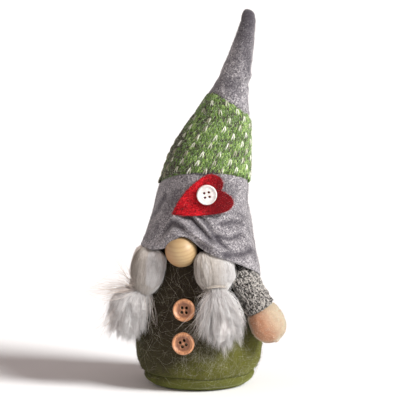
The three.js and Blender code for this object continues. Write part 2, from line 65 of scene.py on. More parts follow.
SCENE = bpy.context.scene

# ---------------------------------------------------------------- driving dimensions

# Axes of the gnome's front view.
RIGHTWARD = np.array([math.cos(math.radians(15)), math.sin(math.radians(15)), 0.0])
FORWARD = np.array([math.sin(math.radians(15)), -math.cos(math.radians(15)), 0.0])
UPWARD = np.array([0.0, 0.0, 1.0])
FRONT_AXES = np.stack([RIGHTWARD, FORWARD, UPWARD])

FELT = 2.0
PLUSH = 1.8
SEAM_DIP = 0.9

KNIT_SEAM = {"height": 160.4, "slant": 13.2, "peak_turn": 15.0}
TIP_SEAM = {"height": 221.3, "slant": 13.0, "peak_turn": -33.0}
BRIM_EDGE = {"height": 97.0, "slant": 16.0, "peak_turn": -40.0}
BRIM_ARCHES = [(28.0, 8.5, 30.0, 30.0), (0.5, 11.8, 9.0, 11.0)]  # turn, rise, right and left width

# Folds of the brim as (route of (turn, height), rise, half width).
BRIM_FOLDS = [
    ([(-30, 114), (-21, 118), (-14, 126), (-8, 130), (-2, 132), (5, 130.5), (12, 126.5), (18, 122.5),
      (25, 119), (34, 114.5), (44, 109.5), (54, 105)], 2.4, 2.6),
    ([(-15, 139.2), (-6, 136.8), (3, 133.4), (9, 129.9), (15, 126), (21, 122), (27, 119)], 3.8, 1.3),
    ([(-22, 128), (-16, 134), (-8, 133.4), (-1, 131.8)], -2.4, 1.8),
    ([(-2, 140), (6, 138), (14, 132), (20, 127.5), (25, 122.5)], -3.2, 1.5),
    ([(8, 141), (17, 136), (24, 131), (29, 125.5)], 1.8, 1.6),
    ([(15, 140.5), (23, 134), (28, 128.5), (32, 122.5), (38, 117)], -2.8, 1.5),
    ([(34, 124.5), (46, 122), (60, 124)], -1.8, 1.6),
    ([(40, 133), (54, 134.5), (68, 132)], -1.4, 2.0),
    ([(36, 112), (50, 110), (66, 112)], -1.4, 1.8),
    ([(-62, 112), (-46, 124), (-34, 138)], 1.2, 3.6),
    ([(-70, 128), (-52, 140), (-38, 152)], -0.9, 3.0),
    ([(100, 96), (110, 114), (116, 136)], 1.2, 4.6),
    ([(160, 92), (168, 116), (166, 140)], 1.6, 5.0),
    ([(205, 98), (200, 122), (204, 144)], 1.4, 5.0),
    ([(240, 104), (244, 126), (238, 146)], 1.2, 4.6),
]

HEART = {"turn": 16.8, "height": 153.4, "climb": 28.6, "middle": 26.0, "thickness": 2.0, "lift": 0.5}

STITCH = {"width": 2.6, "height": 2.15, "yarn": 0.56, "fleck_yarn": 0.56, "span": 3.2, "fleck_span": 5.6}
KNIT_GRAIN_TURN = 100.0

WOOD_BUTTON = {"radius": 9.0, "thickness": 4.0, "rim": 2.2, "dish": 1.9, "hole": 1.35, "spread": 1.85}
PALE_BUTTON = {"radius": 8.0, "thickness": 3.2, "rim": 1.5, "dish": 0.9, "hole": 1.0, "spread": 1.8}

ARM_SEEDS = {"left": 50, "right": 60}
BRAID_SEEDS = {"left": 80, "right": 90}

# The two coats of a tuft: name, count, where the fibres start, their width and their middle tone.
TUFT_COATS = [("under", 3200, 0.55, 0.34, 0.30), ("over", 4600, 0.78, 0.22, 0.58)]

# Loose locks of the tufts: start, heading, length, count, spread and sag.
LEFT_LOCKS = [
    ((-3, 1, -8), (-0.55, 0.08, -1), 40, 60, 0.16, 0.1),
    ((4, 1, -8), (0.7, 0.08, -1), 34, 50, 0.16, 0.1),
    ((0, 2, -20), (0.1, 0.05, -1), 32, 60, 0.18, 0.0),
    ((-3, 1, -2), (-1, 0.1, -0.4), 18, 20, 0.3, 0.2),
]
RIGHT_LOCKS = [
    ((-6, 2, -2), (-1, 0.1, 0.14), 43, 90, 0.15, 0.12),
    ((-6, 4, 2), (-0.5, 0.1, 0.9), 35, 26, 0.05, 0.02),
    ((-14, 2, -14), (-0.8, 0.1, -0.7), 32, 60, 0.2, 0.1),
    ((4, 2, -6), (0.12, 0.2, -1), 34, 34, 0.14, 0.05),
    ((-4, 2, 0), (-0.9, 0.15, 0.5), 32, 40, 0.22, 0.2),
]

# ---------------------------------------------------------------- numbers and meshes

LATTICE = np.random.default_rng(7).uniform(-1, 1, (32, 32, 32))


def lumps(points, size, shift=0.0):
    """Smooth noise from -1 to 1, with lumps of about the given size."""
    cell = np.asarray(points, float) / size + shift
    base = np.floor(cell).astype(int)
    part = cell - base
    part = part * part * (3 - 2 * part)
    value = 0.0
    for corner in np.ndindex(2, 2, 2):
        weight = np.prod(np.where(np.array(corner) == 1, part, 1 - part), axis=-1)
        i, j, k = np.moveaxis((base + corner) % 32, -1, 0)
        value = value + weight * LATTICE[i, j, k]
    return value


def smoothstep(value, low, high):
    share = np.clip((np.asarray(value, float) - low) / (high - low), 0, 1)
    return share * share * (3 - 2 * share)


def hump(distance, width):
    return np.exp(-0.5 * (np.asarray(distance) / width) ** 2)


def unit(vectors):
    return vectors / np.maximum(np.linalg.norm(vectors, axis=-1, keepdims=True), 1e-9)


def even_turns(columns):
    """Turns spaced evenly all the way round."""
    return np.arange(columns) * 360 / columns


def turn_between(start, end):
    """Signed turn from one angle to another, from -180 to 180."""
    return (np.asarray(end) - start + 180) % 360 - 180


def blurred(grid, reach, axis, wrap):
    """Average a grid along one axis with a bell-shaped weight."""
    offsets = np.arange(-3 * reach, 3 * reach + 1)
    weights = hump(offsets, reach)
    pad = [(0, 0)] * grid.ndim
    pad[axis] = (3 * reach, 3 * reach)
    padded = np.pad(grid, pad, mode="wrap" if wrap else "edge")
    length = grid.shape[axis]
    total = sum(
        weight * np.take(padded, np.arange(length) + index, axis=axis)
        for index, weight in enumerate(weights)
    )
    return total / weights.sum()


def new_object(name, points, quads=(), triangles=(), tone=None, smooth=True):
    """A mesh object from points in millimetres, with an optional tone from 0 to 1 for each point."""
    quads = np.asarray(quads, np.int32).reshape(-1, 4)
    triangles = np.asarray(triangles, np.int32).reshape(-1, 3)
    points = np.asarray(points, float).reshape(-1, 3)
    mesh = bpy.data.meshes.new(name)
    mesh.vertices.add(len(points))
    mesh.vertices.foreach_set("co", (points * MM).ravel())
    corners = np.concatenate([quads.ravel(), triangles.ravel()])
    mesh.loops.add(len(corners))
    mesh.loops.foreach_set("vertex_index", corners)
    starts = np.concatenate([np.arange(len(quads)) * 4, quads.size + np.arange(len(triangles)) * 3])
    mesh.polygons.add(len(starts))
    mesh.polygons.foreach_set("loop_start", starts.astype(np.int32))
    mesh.polygons.foreach_set("use_smooth", np.full(len(starts), smooth))
    mesh.update(calc_edges=True)
    if tone is not None:
        attribute = mesh.attributes.new("tone", "FLOAT", "POINT")
        attribute.data.foreach_set("value", np.asarray(tone, np.float32).ravel())
    obj = bpy.data.objects.new(name, mesh)
    SCENE.collection.objects.link(obj)
    return obj


def skin_mesh(rings, loop=False, poles=(False, False)):
    """Points, quads and triangles of a surface through rings [rows, columns, 3].

    A loop joins the last ring to the first. Poles close the first and the last ring with a fan.
    """
    rings = np.asarray(rings, float)
    rows, columns = rings.shape[:2]
    index = np.arange(rows * columns).reshape(rows, columns)
    lower = index if loop else index[:-1]
    upper = np.roll(index, -1, axis=0) if loop else index[1:]
    corners = [lower, np.roll(lower, -1, axis=1), np.roll(upper, -1, axis=1), upper]
    quads = np.stack(corners, axis=-1).reshape(-1, 4)
    points = [rings.reshape(-1, 3)]
    triangles = []
    for at_end, wanted in enumerate(poles):
        if not wanted:
            continue
        ring = index[-1] if at_end else index[0]
        pole = np.full(columns, sum(len(p) for p in points))
        points.append(rings[-1 if at_end else 0].mean(axis=0, keepdims=True))
        pair = (ring, np.roll(ring, -1)) if at_end else (np.roll(ring, -1), ring)
        triangles.append(np.stack([*pair, pole], axis=-1))
    triangles = np.concatenate(triangles) if triangles else np.zeros((0, 3), int)
    return np.concatenate(points), quads, triangles


def tubes(paths, radii, sides=3):
    """Points, quads and triangles of closed tubes along paths [n, k, 3].

    radii [n, k] taper each tube; its last point is a sharp tip.
    """
    paths = np.asarray(paths, float)
    count, steps = paths.shape[:2]
    tangent = unit(np.gradient(paths, axis=1))
    helper = np.where(np.abs(tangent[:, :1, 2:]) > 0.8, [[[1.0, 0.3, 0.0]]], [[[0.1, 0.2, 1.0]]])
    side = unit(np.cross(tangent, np.broadcast_to(helper, tangent.shape)))
    other = np.cross(tangent, side)
    angles = np.arange(sides) * 2 * math.pi / sides
    spokes = (side[:, :-1, None] * np.cos(angles)[:, None] + other[:, :-1, None] * np.sin(angles)[:, None])
    body = paths[:, :-1, None] + spokes * radii[:, :-1, None, None]
    per_tube = (steps - 1) * sides + 1
    points = np.concatenate([body.reshape(count, -1, 3), paths[:, -1:]], axis=1)
    ring = np.arange(sides)
    after = (ring + 1) % sides
    rows = np.arange(steps - 2)[:, None] * sides
    quads = np.stack([rows + ring, rows + after, rows + sides + after, rows + sides + ring], axis=-1)
    last = (steps - 2) * sides
    tip = np.stack([last + ring, last + after, np.full(sides, per_tube - 1)], axis=-1)
    root = np.stack([np.zeros(sides - 2, int), ring[2:], ring[1:-1]], axis=-1)
    offsets = (np.arange(count) * per_tube)[:, None, None]
    quads = (quads.reshape(1, -1, 4) + offsets).reshape(-1, 4)
    triangles = (np.concatenate([tip, root])[None] + offsets).reshape(-1, 3)
    return points.reshape(-1, 3), quads, triangles


def strands(name, paths, width, rng, taper=0.75, tone=None, sides=3):
    """An object of tapering fibres. width is each fibre's width, and tone a value for each fibre."""
    count, steps = paths.shape[:2]
    share = np.linspace(0, 1, steps)
    radii = np.asarray(width, float).reshape(-1, 1) / 2 * (1 - taper * share ** 1.5)
    radii = np.broadcast_to(radii, (count, steps)) * rng.uniform(0.75, 1.25, (count, 1))
    points, quads, triangles = tubes(paths, radii, sides)
    tone = rng.uniform(0, 1, count) if tone is None else tone
    return new_object(name, points, quads, triangles, np.repeat(tone, len(points) // count))


# ---------------------------------------------------------------- surfaces taken from the frame


class Skin:
    """The outer surface of some CAD nodes about a centre line, smoothed.

    It is a radius for each turn and height. `place` is the frame it is measured in, a 3 by 3 matrix
    whose columns are its axes, and an origin, both in the row's frame.
    """

    COLUMNS = 144

    def __init__(self, nodes, heights, centre, place=None, blur=(2, 1)):
        self.axes, self.origin = place or (np.eye(3), np.zeros(3))
        self.heights = np.asarray(heights, float)
        self.centre = centre
        tree = self.tree(nodes)
        turns = np.arange(self.COLUMNS) * 360 / self.COLUMNS
        radii = np.array([[self.probe(tree, turn, height) for turn in turns] for height in self.heights])
        for column in radii.T:
            hit = ~np.isnan(column)
            if hit.any():
                column[:] = np.interp(self.heights, self.heights[hit], column[hit])
        empty = np.isnan(radii).any(axis=0)
        radii[:, empty] = np.nanmean(radii[:, ~empty], axis=1, keepdims=True)
        self.radii = blurred(blurred(radii, blur[0], 1, True), blur[1], 0, False)

    def tree(self, nodes):
        points, faces = [], []
        for node in nodes:
            mesh = frame["nodes"][node].data
            start = len(points)
            world = np.array([vertex.co[:] for vertex in mesh.vertices]) / MM
            points += [Vector(p) for p in (world - self.origin) @ self.axes]
            faces += [[start + index for index in face.vertices] for face in mesh.polygons]
        return BVHTree.FromPolygons(points, faces)

    def middle(self, height):
        return self.centre(height) if callable(self.centre) else np.asarray(self.centre, float)

    def probe(self, tree, turn, height):
        outward = Vector((math.sin(math.radians(turn)), -math.cos(math.radians(turn)), 0))
        middle = Vector((*np.broadcast_to(self.middle(height), 2), height))
        hit = tree.ray_cast(middle + outward * 150, -outward)[0]
        radius = (hit - middle).dot(outward) if hit else -1
        return radius if radius > 0 else math.nan

    def radius(self, turn, height):
        column = (np.asarray(turn, float) % 360) / 360 * self.COLUMNS
        row = np.interp(height, self.heights, np.arange(len(self.heights)))
        low_row = np.minimum(row.astype(int), len(self.heights) - 2)
        low_column = column.astype(int) % self.COLUMNS
        high_column = (low_column + 1) % self.COLUMNS
        part_row, part_column = row - low_row, column - np.floor(column)
        lower = self.radii[low_row, low_column] * (1 - part_column)
        lower = lower + self.radii[low_row, high_column] * part_column
        upper = self.radii[low_row + 1, low_column] * (1 - part_column)
        upper = upper + self.radii[low_row + 1, high_column] * part_column
        return lower * (1 - part_row) + upper * part_row

    def points(self, turn, height, lift=0.0, share=1.0):
        """Points in the row's frame, at a share of the radius plus a lift."""
        turn, height, lift = np.broadcast_arrays(
            np.asarray(turn, float), np.asarray(height, float), np.asarray(lift, float))
        radius = self.radius(turn, height) * share + lift
        angle = np.radians(turn)
        middle = self.middle(height)
        if callable(self.centre):
            x, y = middle
        else:
            x, y = middle[0], middle[1]
        local = np.stack([x + radius * np.sin(angle), y - radius * np.cos(angle), height], axis=-1)
        return local @ self.axes.T + self.origin


def node_points(node):
    return np.array([vertex.co[:] for vertex in frame["nodes"][node].data.vertices]) / MM


def wire_centre():
    """The hat's leaning centre line, along its two wires and on down to the base's middle."""
    ends = np.concatenate([node_points("hat_wire_lower"), node_points("hat_wire_upper")])
    heights = np.arange(160, 286, 14.0)
    leans = [ends[np.abs(ends[:, 2] - h).argsort()[:6], 0].mean() for h in heights]
    slope = (leans[-1] - leans[-2]) / (heights[-1] - heights[-2])
    top = cad_box_top()
    heights = np.concatenate([[100.0, 130.0], heights, [top]])
    leans = np.concatenate([[-0.5, 0.0], leans, [leans[-1] + slope * (top - heights[-2])]])
    return lambda height: (np.interp(height, heights, leans), 0.0 * np.asarray(height))


def cad_box_top():
    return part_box("hat_tip")[1][2] / MM


def limb_place(joint_name, node):
    """A limb's own frame: its axes as columns, and its origin at the joint."""
    joint = next(j for j in frame["joints"] if j["name"] == joint_name)
    origin = np.array(joint["pos_m"]) / MM
    across = unit(np.array(joint["axis"], float))
    down = node_points(node).mean(axis=0) - origin
    up = unit(-(down - across * (down @ across)))
    return np.stack([across, np.cross(up, across), up], axis=1), origin


def limb_skin(nodes, joint_name, guide, rows=26, ends=(0.02, 0.02), blur=(2, 1)):
    """The skin of a limb's nodes, sampled finely towards its rounded ends."""
    place = limb_place(joint_name, guide)
    local = np.concatenate([(node_points(node) - place[1]) @ place[0] for node in nodes])
    low, high = local[:, 2].min(), local[:, 2].max()
    share = (1 - np.cos(np.linspace(0, math.pi, rows))) / 2
    share = ends[0] + share * (1 - ends[0] - ends[1])
    centre = (local[:, :2].min(axis=0) + local[:, :2].max(axis=0)) / 2
    skin = Skin(nodes, low + share * (high - low), centre, place, blur)
    skin.low, skin.high = low, high
    return skin


# ---------------------------------------------------------------- materials


class Shade:
    """A small builder for one procedural material."""

    def __init__(self, name, **sockets):
        self.material = bpy.data.materials.new(name)
        self.material.use_nodes = True
        self.tree = self.material.node_tree
        self.surface = self.tree.nodes["Principled BSDF"]
        for key, value in sockets.items():
            self.surface.inputs[key.replace("_", " ").title().replace("Ior", "IOR")].default_value = value
        self.place = self.tree.nodes.new("ShaderNodeTexCoord").outputs["Object"]

    def add(self, kind, inputs=None, **settings):
        node = self.tree.nodes.new(kind)
        for key, value in settings.items():
            setattr(node, key, value)
        for key, value in (inputs or {}).items():
            if isinstance(value, bpy.types.NodeSocket):
                self.tree.links.new(value, node.inputs[key])
            else:
                node.inputs[key].default_value = value
        return node

    def stretched(self, scale=(1, 1, 1), rotation=(0, 0, 0)):
        inputs = {"Vector": self.place, "Scale": scale, "Rotation": rotation}
        return self.add("ShaderNodeMapping", inputs).outputs["Vector"]

    def noise(self, size, detail=3.0, vector=None, roughness=0.55, distortion=0.0):
        """Noise with features of about the given size in millimetres."""
        inputs = {"Vector": vector or self.place, "Scale": 1 / (size * MM), "Detail": detail,
                  "Roughness": roughness, "Distortion": distortion}
        return self.add("ShaderNodeTexNoise", inputs).outputs["Fac"]

    def cells(self, size, vector=None, feature="F1"):
        inputs = {"Vector": vector or self.place, "Scale": 1 / (size * MM)}
        return self.add("ShaderNodeTexVoronoi", inputs, feature=feature).outputs["Distance"]

    def tone(self):
        return self.add("ShaderNodeAttribute", attribute_name="tone").outputs["Fac"]

    def ramp(self, value, stops, smooth=True):
        node = self.add("ShaderNodeValToRGB", {"Fac": value})
        node.color_ramp.interpolation = "EASE" if smooth else "LINEAR"
        elements = node.color_ramp.elements
        while len(elements) < len(stops):
            elements.new(0.5)
        for element, (position, colour) in zip(elements, stops):
            element.position = position
            element.color = colour if len(colour) == 4 else (*colour, 1)
        return node.outputs["Color"]

    def grey(self, value, low, high, dark=0.0, light=1.0):
        return self.ramp(value, [(low, (dark,) * 3), (high, (light,) * 3)])

    def mix(self, share, first, second, mode="MIX"):
        node = self.add("ShaderNodeMix", data_type="RGBA", blend_type=mode)
        for socket, value in ((node.inputs[0], share), (node.inputs[6], first), (node.inputs[7], second)):
            if isinstance(value, bpy.types.NodeSocket):
                self.tree.links.new(value, socket)
            elif isinstance(value, tuple):
                socket.default_value = (*value, 1)
            else:
                socket.default_value = value
        return node.outputs[2]

    def maths(self, operation, first, second=0.0):
        return self.add("ShaderNodeMath", {0: first, 1: second}, operation=operation).outputs[0]

    def colour(self, socket):
        self.tree.links.new(socket, self.surface.inputs["Base Color"])
        return self

    def rough(self, socket):
        self.tree.links.new(socket, self.surface.inputs["Roughness"])
        return self

    def bump(self, *layers):
        """Bump layers of (height, strength, depth in millimetres)."""
        normal = None
        for height, strength, depth in layers:
            inputs = {"Height": height, "Strength": strength, "Distance": depth * MM}
            if normal:
                inputs["Normal"] = normal
            normal = self.add("ShaderNodeBump", inputs).outputs["Normal"]
        self.tree.links.new(normal, self.surface.inputs["Normal"])
        return self


def felt_material(name, dark, mid, light, sheen=0.3, cloud=0.6):
    """Matted fibre: flecks of darker and lighter wool over slow clouds of tone."""
    shade = Shade(name, roughness=0.95, sheen_weight=sheen, sheen_roughness=0.5, specular_ior_level=0.15)
    fleck = shade.noise(1.3, 5.0, roughness=0.8, distortion=0.4)
    drift = shade.noise(13.0, 3.0, roughness=0.6)
    fine = shade.noise(0.7, 3.0, roughness=0.75, distortion=0.4)
    base = shade.ramp(fleck, [(0.38, dark), (0.5, mid), (0.62, light)])
    clouded = shade.mix(shade.grey(drift, 0.46, 0.64, 0.0, cloud), base, dark)
    specked = shade.mix(shade.grey(fine, 0.54, 0.66, 0.0, 0.75), clouded, dark)
    hair = shade.mix(shade.grey(fine, 0.28, 0.42, 0.5, 0.0), specked, light)
    # the tone attribute darkens the felt towards dark: painted shade in the brim's creases and on the
    # heart's right part, and darker clouds and top on the tip
    shade.colour(shade.mix(shade.maths("MULTIPLY", shade.tone(), 0.95), hair, dark))
    return shade.bump((fleck, 0.6, 0.6), (fine, 0.7, 0.3)).material


def yarn_material(name, dark, mid, light):
    shade = Shade(name, roughness=0.9, sheen_weight=0.4, sheen_roughness=0.45, specular_ior_level=0.15)
    ply = shade.noise(0.5, 3.0, shade.stretched((1, 1, 0.35)), roughness=0.7)
    # the tone mixes random mottle with painted shade on the knit's side away from the light
    mixed = shade.ramp(shade.tone(), [(0.0, dark), (0.5, mid), (1.0, light)])
    shade.colour(shade.mix(shade.grey(ply, 0.35, 0.68, 0.0, 0.6), mixed, dark))
    return shade.bump((ply, 0.8, 0.3)).material


def fibre_material(name, dark, light, roughness=0.75, sheen=0.3, middle=None):
    """Fibres whose colour follows each fibre's own tone."""
    shade = Shade(name, roughness=roughness, sheen_weight=sheen, sheen_roughness=0.4,
                  specular_ior_level=0.2)
    stops = [(0.0, dark), (1.0, light)] if middle is None else [(0.0, dark), (0.5, middle), (1.0, light)]
    drift = shade.noise(6.0, 2.0)
    mixed = shade.ramp(shade.tone(), stops)
    return shade.colour(shade.mix(shade.grey(drift, 0.3, 0.75, 0.0, 0.2), mixed, dark)).material


def pile_material(name, brown, olive, moss, sheen_tint):
    """Short pile, brushed into patches: brown at the top of the gnome as painted shade under the brim, and
    mossy towards its foot and its lit +X side as painted light.
    """
    shade = Shade(name, roughness=0.85, sheen_weight=0.35, sheen_roughness=0.35, specular_ior_level=0.1,
                  sheen_tint=(*sheen_tint, 1))
    grain = shade.noise(0.8, 4.0, roughness=0.75)
    patch = shade.noise(9.0, 3.0, distortion=1.0)
    place = shade.add("ShaderNodeSeparateXYZ", {"Vector": shade.place}).outputs
    # painted light: the lit +X side is pushed towards moss
    sideways = shade.maths("MULTIPLY", place["X"], -0.55)
    drifting = shade.maths("MULTIPLY", patch, 0.026)
    level = shade.maths("ADD", shade.maths("ADD", place["Z"], sideways), drifting)
    ground = shade.ramp(level, [(0.020, moss), (0.044, olive), (0.080, brown)])
    speckled = shade.mix(shade.grey(grain, 0.52, 0.72, 0.0, 0.5), ground, moss)
    shade.colour(shade.mix(shade.grey(grain, 0.30, 0.46, 0.55, 0.0), speckled, (0.008, 0.006, 0.005)))
    return shade.bump((grain, 0.9, 0.5), (patch, 0.3, 0.6)).material


def tweed_material():
    """Rough two-colour weave."""
    shade = Shade("boucle_tweed", roughness=0.95, sheen_weight=0.25, specular_ior_level=0.1)
    slub = shade.cells(1.1)
    fleck = shade.noise(1.15, 3.5, roughness=0.7, distortion=1.8)
    dark, middle, light = (0.012, 0.010, 0.010), (0.06, 0.053, 0.048), (0.42, 0.39, 0.35)
    shade.colour(shade.ramp(fleck, [(0.41, dark), (0.50, middle), (0.59, light)]))
    return shade.bump((slub, 0.8, 0.7), (fleck, 0.7, 0.4)).material


def fleece_material():
    shade = Shade("peach_fleece", roughness=0.95, sheen_weight=0.9, sheen_roughness=0.4,
                  sheen_tint=(0.75, 1.0, 0.85, 1), specular_ior_level=0.1, subsurface_weight=0.15,
                  subsurface_scale=2.5 * MM)
    shade.surface.inputs["Subsurface Radius"].default_value = (1.0, 0.45, 0.25)
    nap = shade.noise(0.6, 3.0, roughness=0.7)
    drift = shade.noise(9.0, 2.0)
    warm = shade.mix(shade.grey(drift, 0.35, 0.7), (0.36, 0.150, 0.078), (0.43, 0.20, 0.11))
    # painted light: a high tone washes the peach fleece out to pale cream
    base = shade.mix(shade.tone(), warm, (0.43, 0.36, 0.26))
    shade.colour(shade.mix(shade.grey(nap, 0.45, 0.7, 0.0, 0.4), base, (0.50, 0.39, 0.28)))
    return shade.bump((nap, 0.6, 0.35), (drift, 0.2, 0.8)).material


def nose_material():
    """Turned pale wood: faint growth rings round a slanted axis, and fine pores along it."""
    shade = Shade("pale_turned_wood", roughness=0.5, coat_weight=0.12, coat_roughness=0.35)
    slant = shade.stretched((1, 1, 1), (math.radians(62), math.radians(-28), 0))
    rings = shade.add("ShaderNodeTexWave", {"Vector": slant, "Scale": 110.0, "Distortion": 2.5,
                      "Detail": 2.0, "Detail Scale": 40.0}, wave_type="RINGS", rings_direction="Z")
    pores = shade.noise(0.7, 2.0, shade.stretched((1, 1, 0.12), (math.radians(62), math.radians(-28), 0)))
    drift = shade.noise(14.0, 2.0)
    pale, warm = (0.47, 0.335, 0.17), (0.31, 0.18, 0.08)
    ringed = shade.mix(shade.grey(rings.outputs["Fac"], 0.45, 1.0, 0.0, 0.42), pale, warm)
    drifted = shade.mix(shade.grey(drift, 0.35, 0.75, 0.0, 0.5), ringed, (0.38, 0.24, 0.115))
    # painted shade: the tone darkens the bead's lower left, away from the key light, to brown
    painted_shade_wood = shade.mix(shade.tone(), drifted, (0.33, 0.165, 0.065))
    shade.colour(shade.mix(shade.grey(pores, 0.58, 0.75, 0.0, 0.25), painted_shade_wood, warm))
    return shade.bump((rings.outputs["Fac"], 0.08, 0.1), (pores, 0.1, 0.1)).material


def button_wood_material():
    shade = Shade("oiled_button_wood", roughness=0.5, coat_weight=0.1, coat_roughness=0.4)
    grain = shade.noise(0.8, 4.0, shade.stretched((1, 1, 0.15), (0.3, 0.5, 0)), roughness=0.6)
    drift = shade.noise(4.0, 2.0)
    dark, mid, light = (0.22, 0.08, 0.038), (0.58, 0.27, 0.13), (0.78, 0.43, 0.23)
    base = shade.ramp(grain, [(0.3, dark), (0.52, mid), (0.72, light)])
    # painted shade: the tone darkens the dished face inside the rim
    toned = shade.mix(shade.tone(), base, (0.13, 0.045, 0.026))
    shade.colour(shade.mix(shade.grey(drift, 0.4, 0.7, 0.0, 0.3), toned, dark))
    return shade.bump((grain, 0.25, 0.15)).material


def pale_button_material():
    shade = Shade("pearly_plastic", roughness=0.3, coat_weight=0.3, coat_roughness=0.15,
                  subsurface_weight=0.1, subsurface_scale=1.5 * MM)
    drift = shade.noise(5.0, 3.0, distortion=1.5)
    scuff = shade.noise(0.6, 3.0)
    shade.colour(shade.mix(shade.grey(drift, 0.4, 0.65), (0.62, 0.585, 0.565), (0.74, 0.71, 0.69)))
    shade.rough(shade.grey(scuff, 0.4, 0.7, 0.22, 0.42))
    return shade.bump((scuff, 0.05, 0.05)).material


def thread_material(name, colour, shadow):
    shade = Shade(name, roughness=0.8, sheen_weight=0.2)
    ply = shade.noise(0.3, 2.0, shade.stretched((1, 1, 0.4)))
    shade.colour(shade.mix(shade.grey(ply, 0.4, 0.65), shadow, colour))
    return shade.bump((ply, 0.5, 0.1)).material


def plain_fibre_fill():
    shade = Shade("polyester_fill", roughness=0.95, sheen_weight=0.3)
    wad = shade.noise(3.0, 4.0, roughness=0.7)
    shade.colour(shade.mix(shade.grey(wad, 0.35, 0.7), (0.70, 0.70, 0.68), (0.86, 0.86, 0.84)))
    return shade.bump((wad, 0.8, 1.0)).material


def plain_card():
    shade = Shade("grey_board", roughness=0.9)
    pulp = shade.noise(0.7, 3.0)
    shade.colour(shade.mix(shade.grey(pulp, 0.4, 0.65), (0.38, 0.28, 0.17), (0.48, 0.36, 0.23)))
    return shade.bump((pulp, 0.2, 0.1)).material


def plain_wire():
    shade = Shade("annealed_wire", roughness=0.4, metallic=0.95)
    drawn = shade.noise(0.4, 2.0, shade.stretched((1, 1, 0.1)))
    shade.colour(shade.mix(shade.grey(drawn, 0.4, 0.6), (0.42, 0.42, 0.44), (0.55, 0.55, 0.57)))
    return shade.rough(shade.grey(drawn, 0.3, 0.7, 0.32, 0.5)).material


def plain_cotton():
    shade = Shade("cotton_bag", roughness=0.9)
    weave = shade.noise(0.5, 2.0)
    shade.colour(shade.mix(shade.grey(weave, 0.4, 0.6), (0.60, 0.58, 0.52), (0.72, 0.70, 0.64)))
    return shade.bump((weave, 0.3, 0.2)).material


def floor_material():
    shade = Shade("pale_floor", roughness=0.75, specular_ior_level=0.2)
    drift = shade.noise(120.0, 2.0)
    tinted = shade.mix(shade.grey(drift, 0.3, 0.7), (0.90, 0.905, 0.91), (0.92, 0.925, 0.93))
    return shade.colour(tinted).material


GREY_FELT = felt_material("grey_wool_felt", (0.046, 0.040, 0.050), (0.225, 0.212, 0.228),
                          (0.60, 0.57, 0.57))
RED_FELT = felt_material("red_wool_felt", (0.07, 0.001, 0.003), (0.50, 0.006, 0.014),
                         (0.80, 0.025, 0.035), sheen=0.02, cloud=0.35)
FELT_FIBRE = fibre_material("felt_fibre", (0.10, 0.08, 0.09), (0.62, 0.58, 0.59))
RED_FIBRE = fibre_material("red_felt_fibre", (0.16, 0.003, 0.006), (0.55, 0.03, 0.035))
# the dark brownish end of the green yarn also serves as the knit's painted shade
GREEN_YARN = yarn_material("green_yarn", (0.050, 0.044, 0.026), (0.15, 0.30, 0.040), (0.46, 0.66, 0.18))
PALE_YARN = yarn_material("pale_yarn", (0.24, 0.23, 0.15), (0.76, 0.80, 0.64), (0.94, 0.95, 0.88))
YARN_FIBRE = fibre_material("yarn_fibre", (0.12, 0.24, 0.05), (0.80, 0.88, 0.62))
# painted shade and light: the brown stop darkens the top of the plush, the moss stop lights its lower +X
# side
BODY_PILE = pile_material("olive_plush", (0.026, 0.018, 0.013), (0.034, 0.028, 0.015),
                          (0.105, 0.105, 0.020), (0.50, 0.55, 0.20))
BASE_PILE = pile_material("moss_plush", (0.020, 0.017, 0.010), (0.028, 0.025, 0.012),
                          (0.100, 0.104, 0.024), (0.60, 0.70, 0.20))
PILE_FIBRE = fibre_material("plush_fibre", (0.020, 0.014, 0.010), (0.34, 0.36, 0.05), 0.75, 0.2,
                            (0.090, 0.088, 0.020))
STRAY_FIBRE = fibre_material("stray_fibre", (0.14, 0.13, 0.07), (0.60, 0.57, 0.45), 0.6)
TWEED = tweed_material()
BOUCLE_DARK = thread_material("boucle_dark", (0.022, 0.02, 0.018), (0.008, 0.007, 0.006))
BOUCLE_PALE = thread_material("boucle_pale", (0.88, 0.85, 0.80), (0.50, 0.46, 0.42))
BOUCLE_COATS = [("dark", BOUCLE_DARK, 1300, 0.45), ("pale", BOUCLE_PALE, 1500, 0.55)]  # with count and lift
FLEECE = fleece_material()
FLEECE_FIBRE = fibre_material("fleece_fibre", (0.50, 0.27, 0.17), (0.72, 0.58, 0.44), 0.8, 0.5)
FUR = fibre_material("white_fur", (0.50, 0.45, 0.435), (0.93, 0.925, 0.92), 0.6, 0.4, (0.79, 0.77, 0.76))
# the next two are shaded copies of the white fur: one with warm painted shade, one with deeper painted
# shade
WARM_SHADE_FUR = fibre_material("warm_shade_fur", (0.46, 0.37, 0.32), (0.95, 0.89, 0.83), 0.6, 0.5, (0.76, 0.67, 0.61))
SHADED_FUR = fibre_material("shaded_fur", (0.30, 0.25, 0.20), (0.97, 0.965, 0.96), 0.6, 0.4, (0.72, 0.67, 0.62))
NOSE_WOOD = nose_material()
BUTTON_WOOD = button_wood_material()
PALE_PLASTIC = pale_button_material()
THREAD = thread_material("cotton_thread", (0.62, 0.57, 0.50), (0.35, 0.30, 0.25))
FILL = plain_fibre_fill()
CARD = plain_card()
WIRE_METAL = plain_wire()
COTTON = plain_cotton()


def dress(obj, material, body, slot, *replaced):
    """Give a piece its material and its body, and hide the CAD nodes that it stands for. Its slot is not
    used.
    """
    obj.data.materials.append(material)
    if body:
        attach(obj, body)
    if replaced:
        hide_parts(*replaced)
    return obj


# ---------------------------------------------------------------- skins

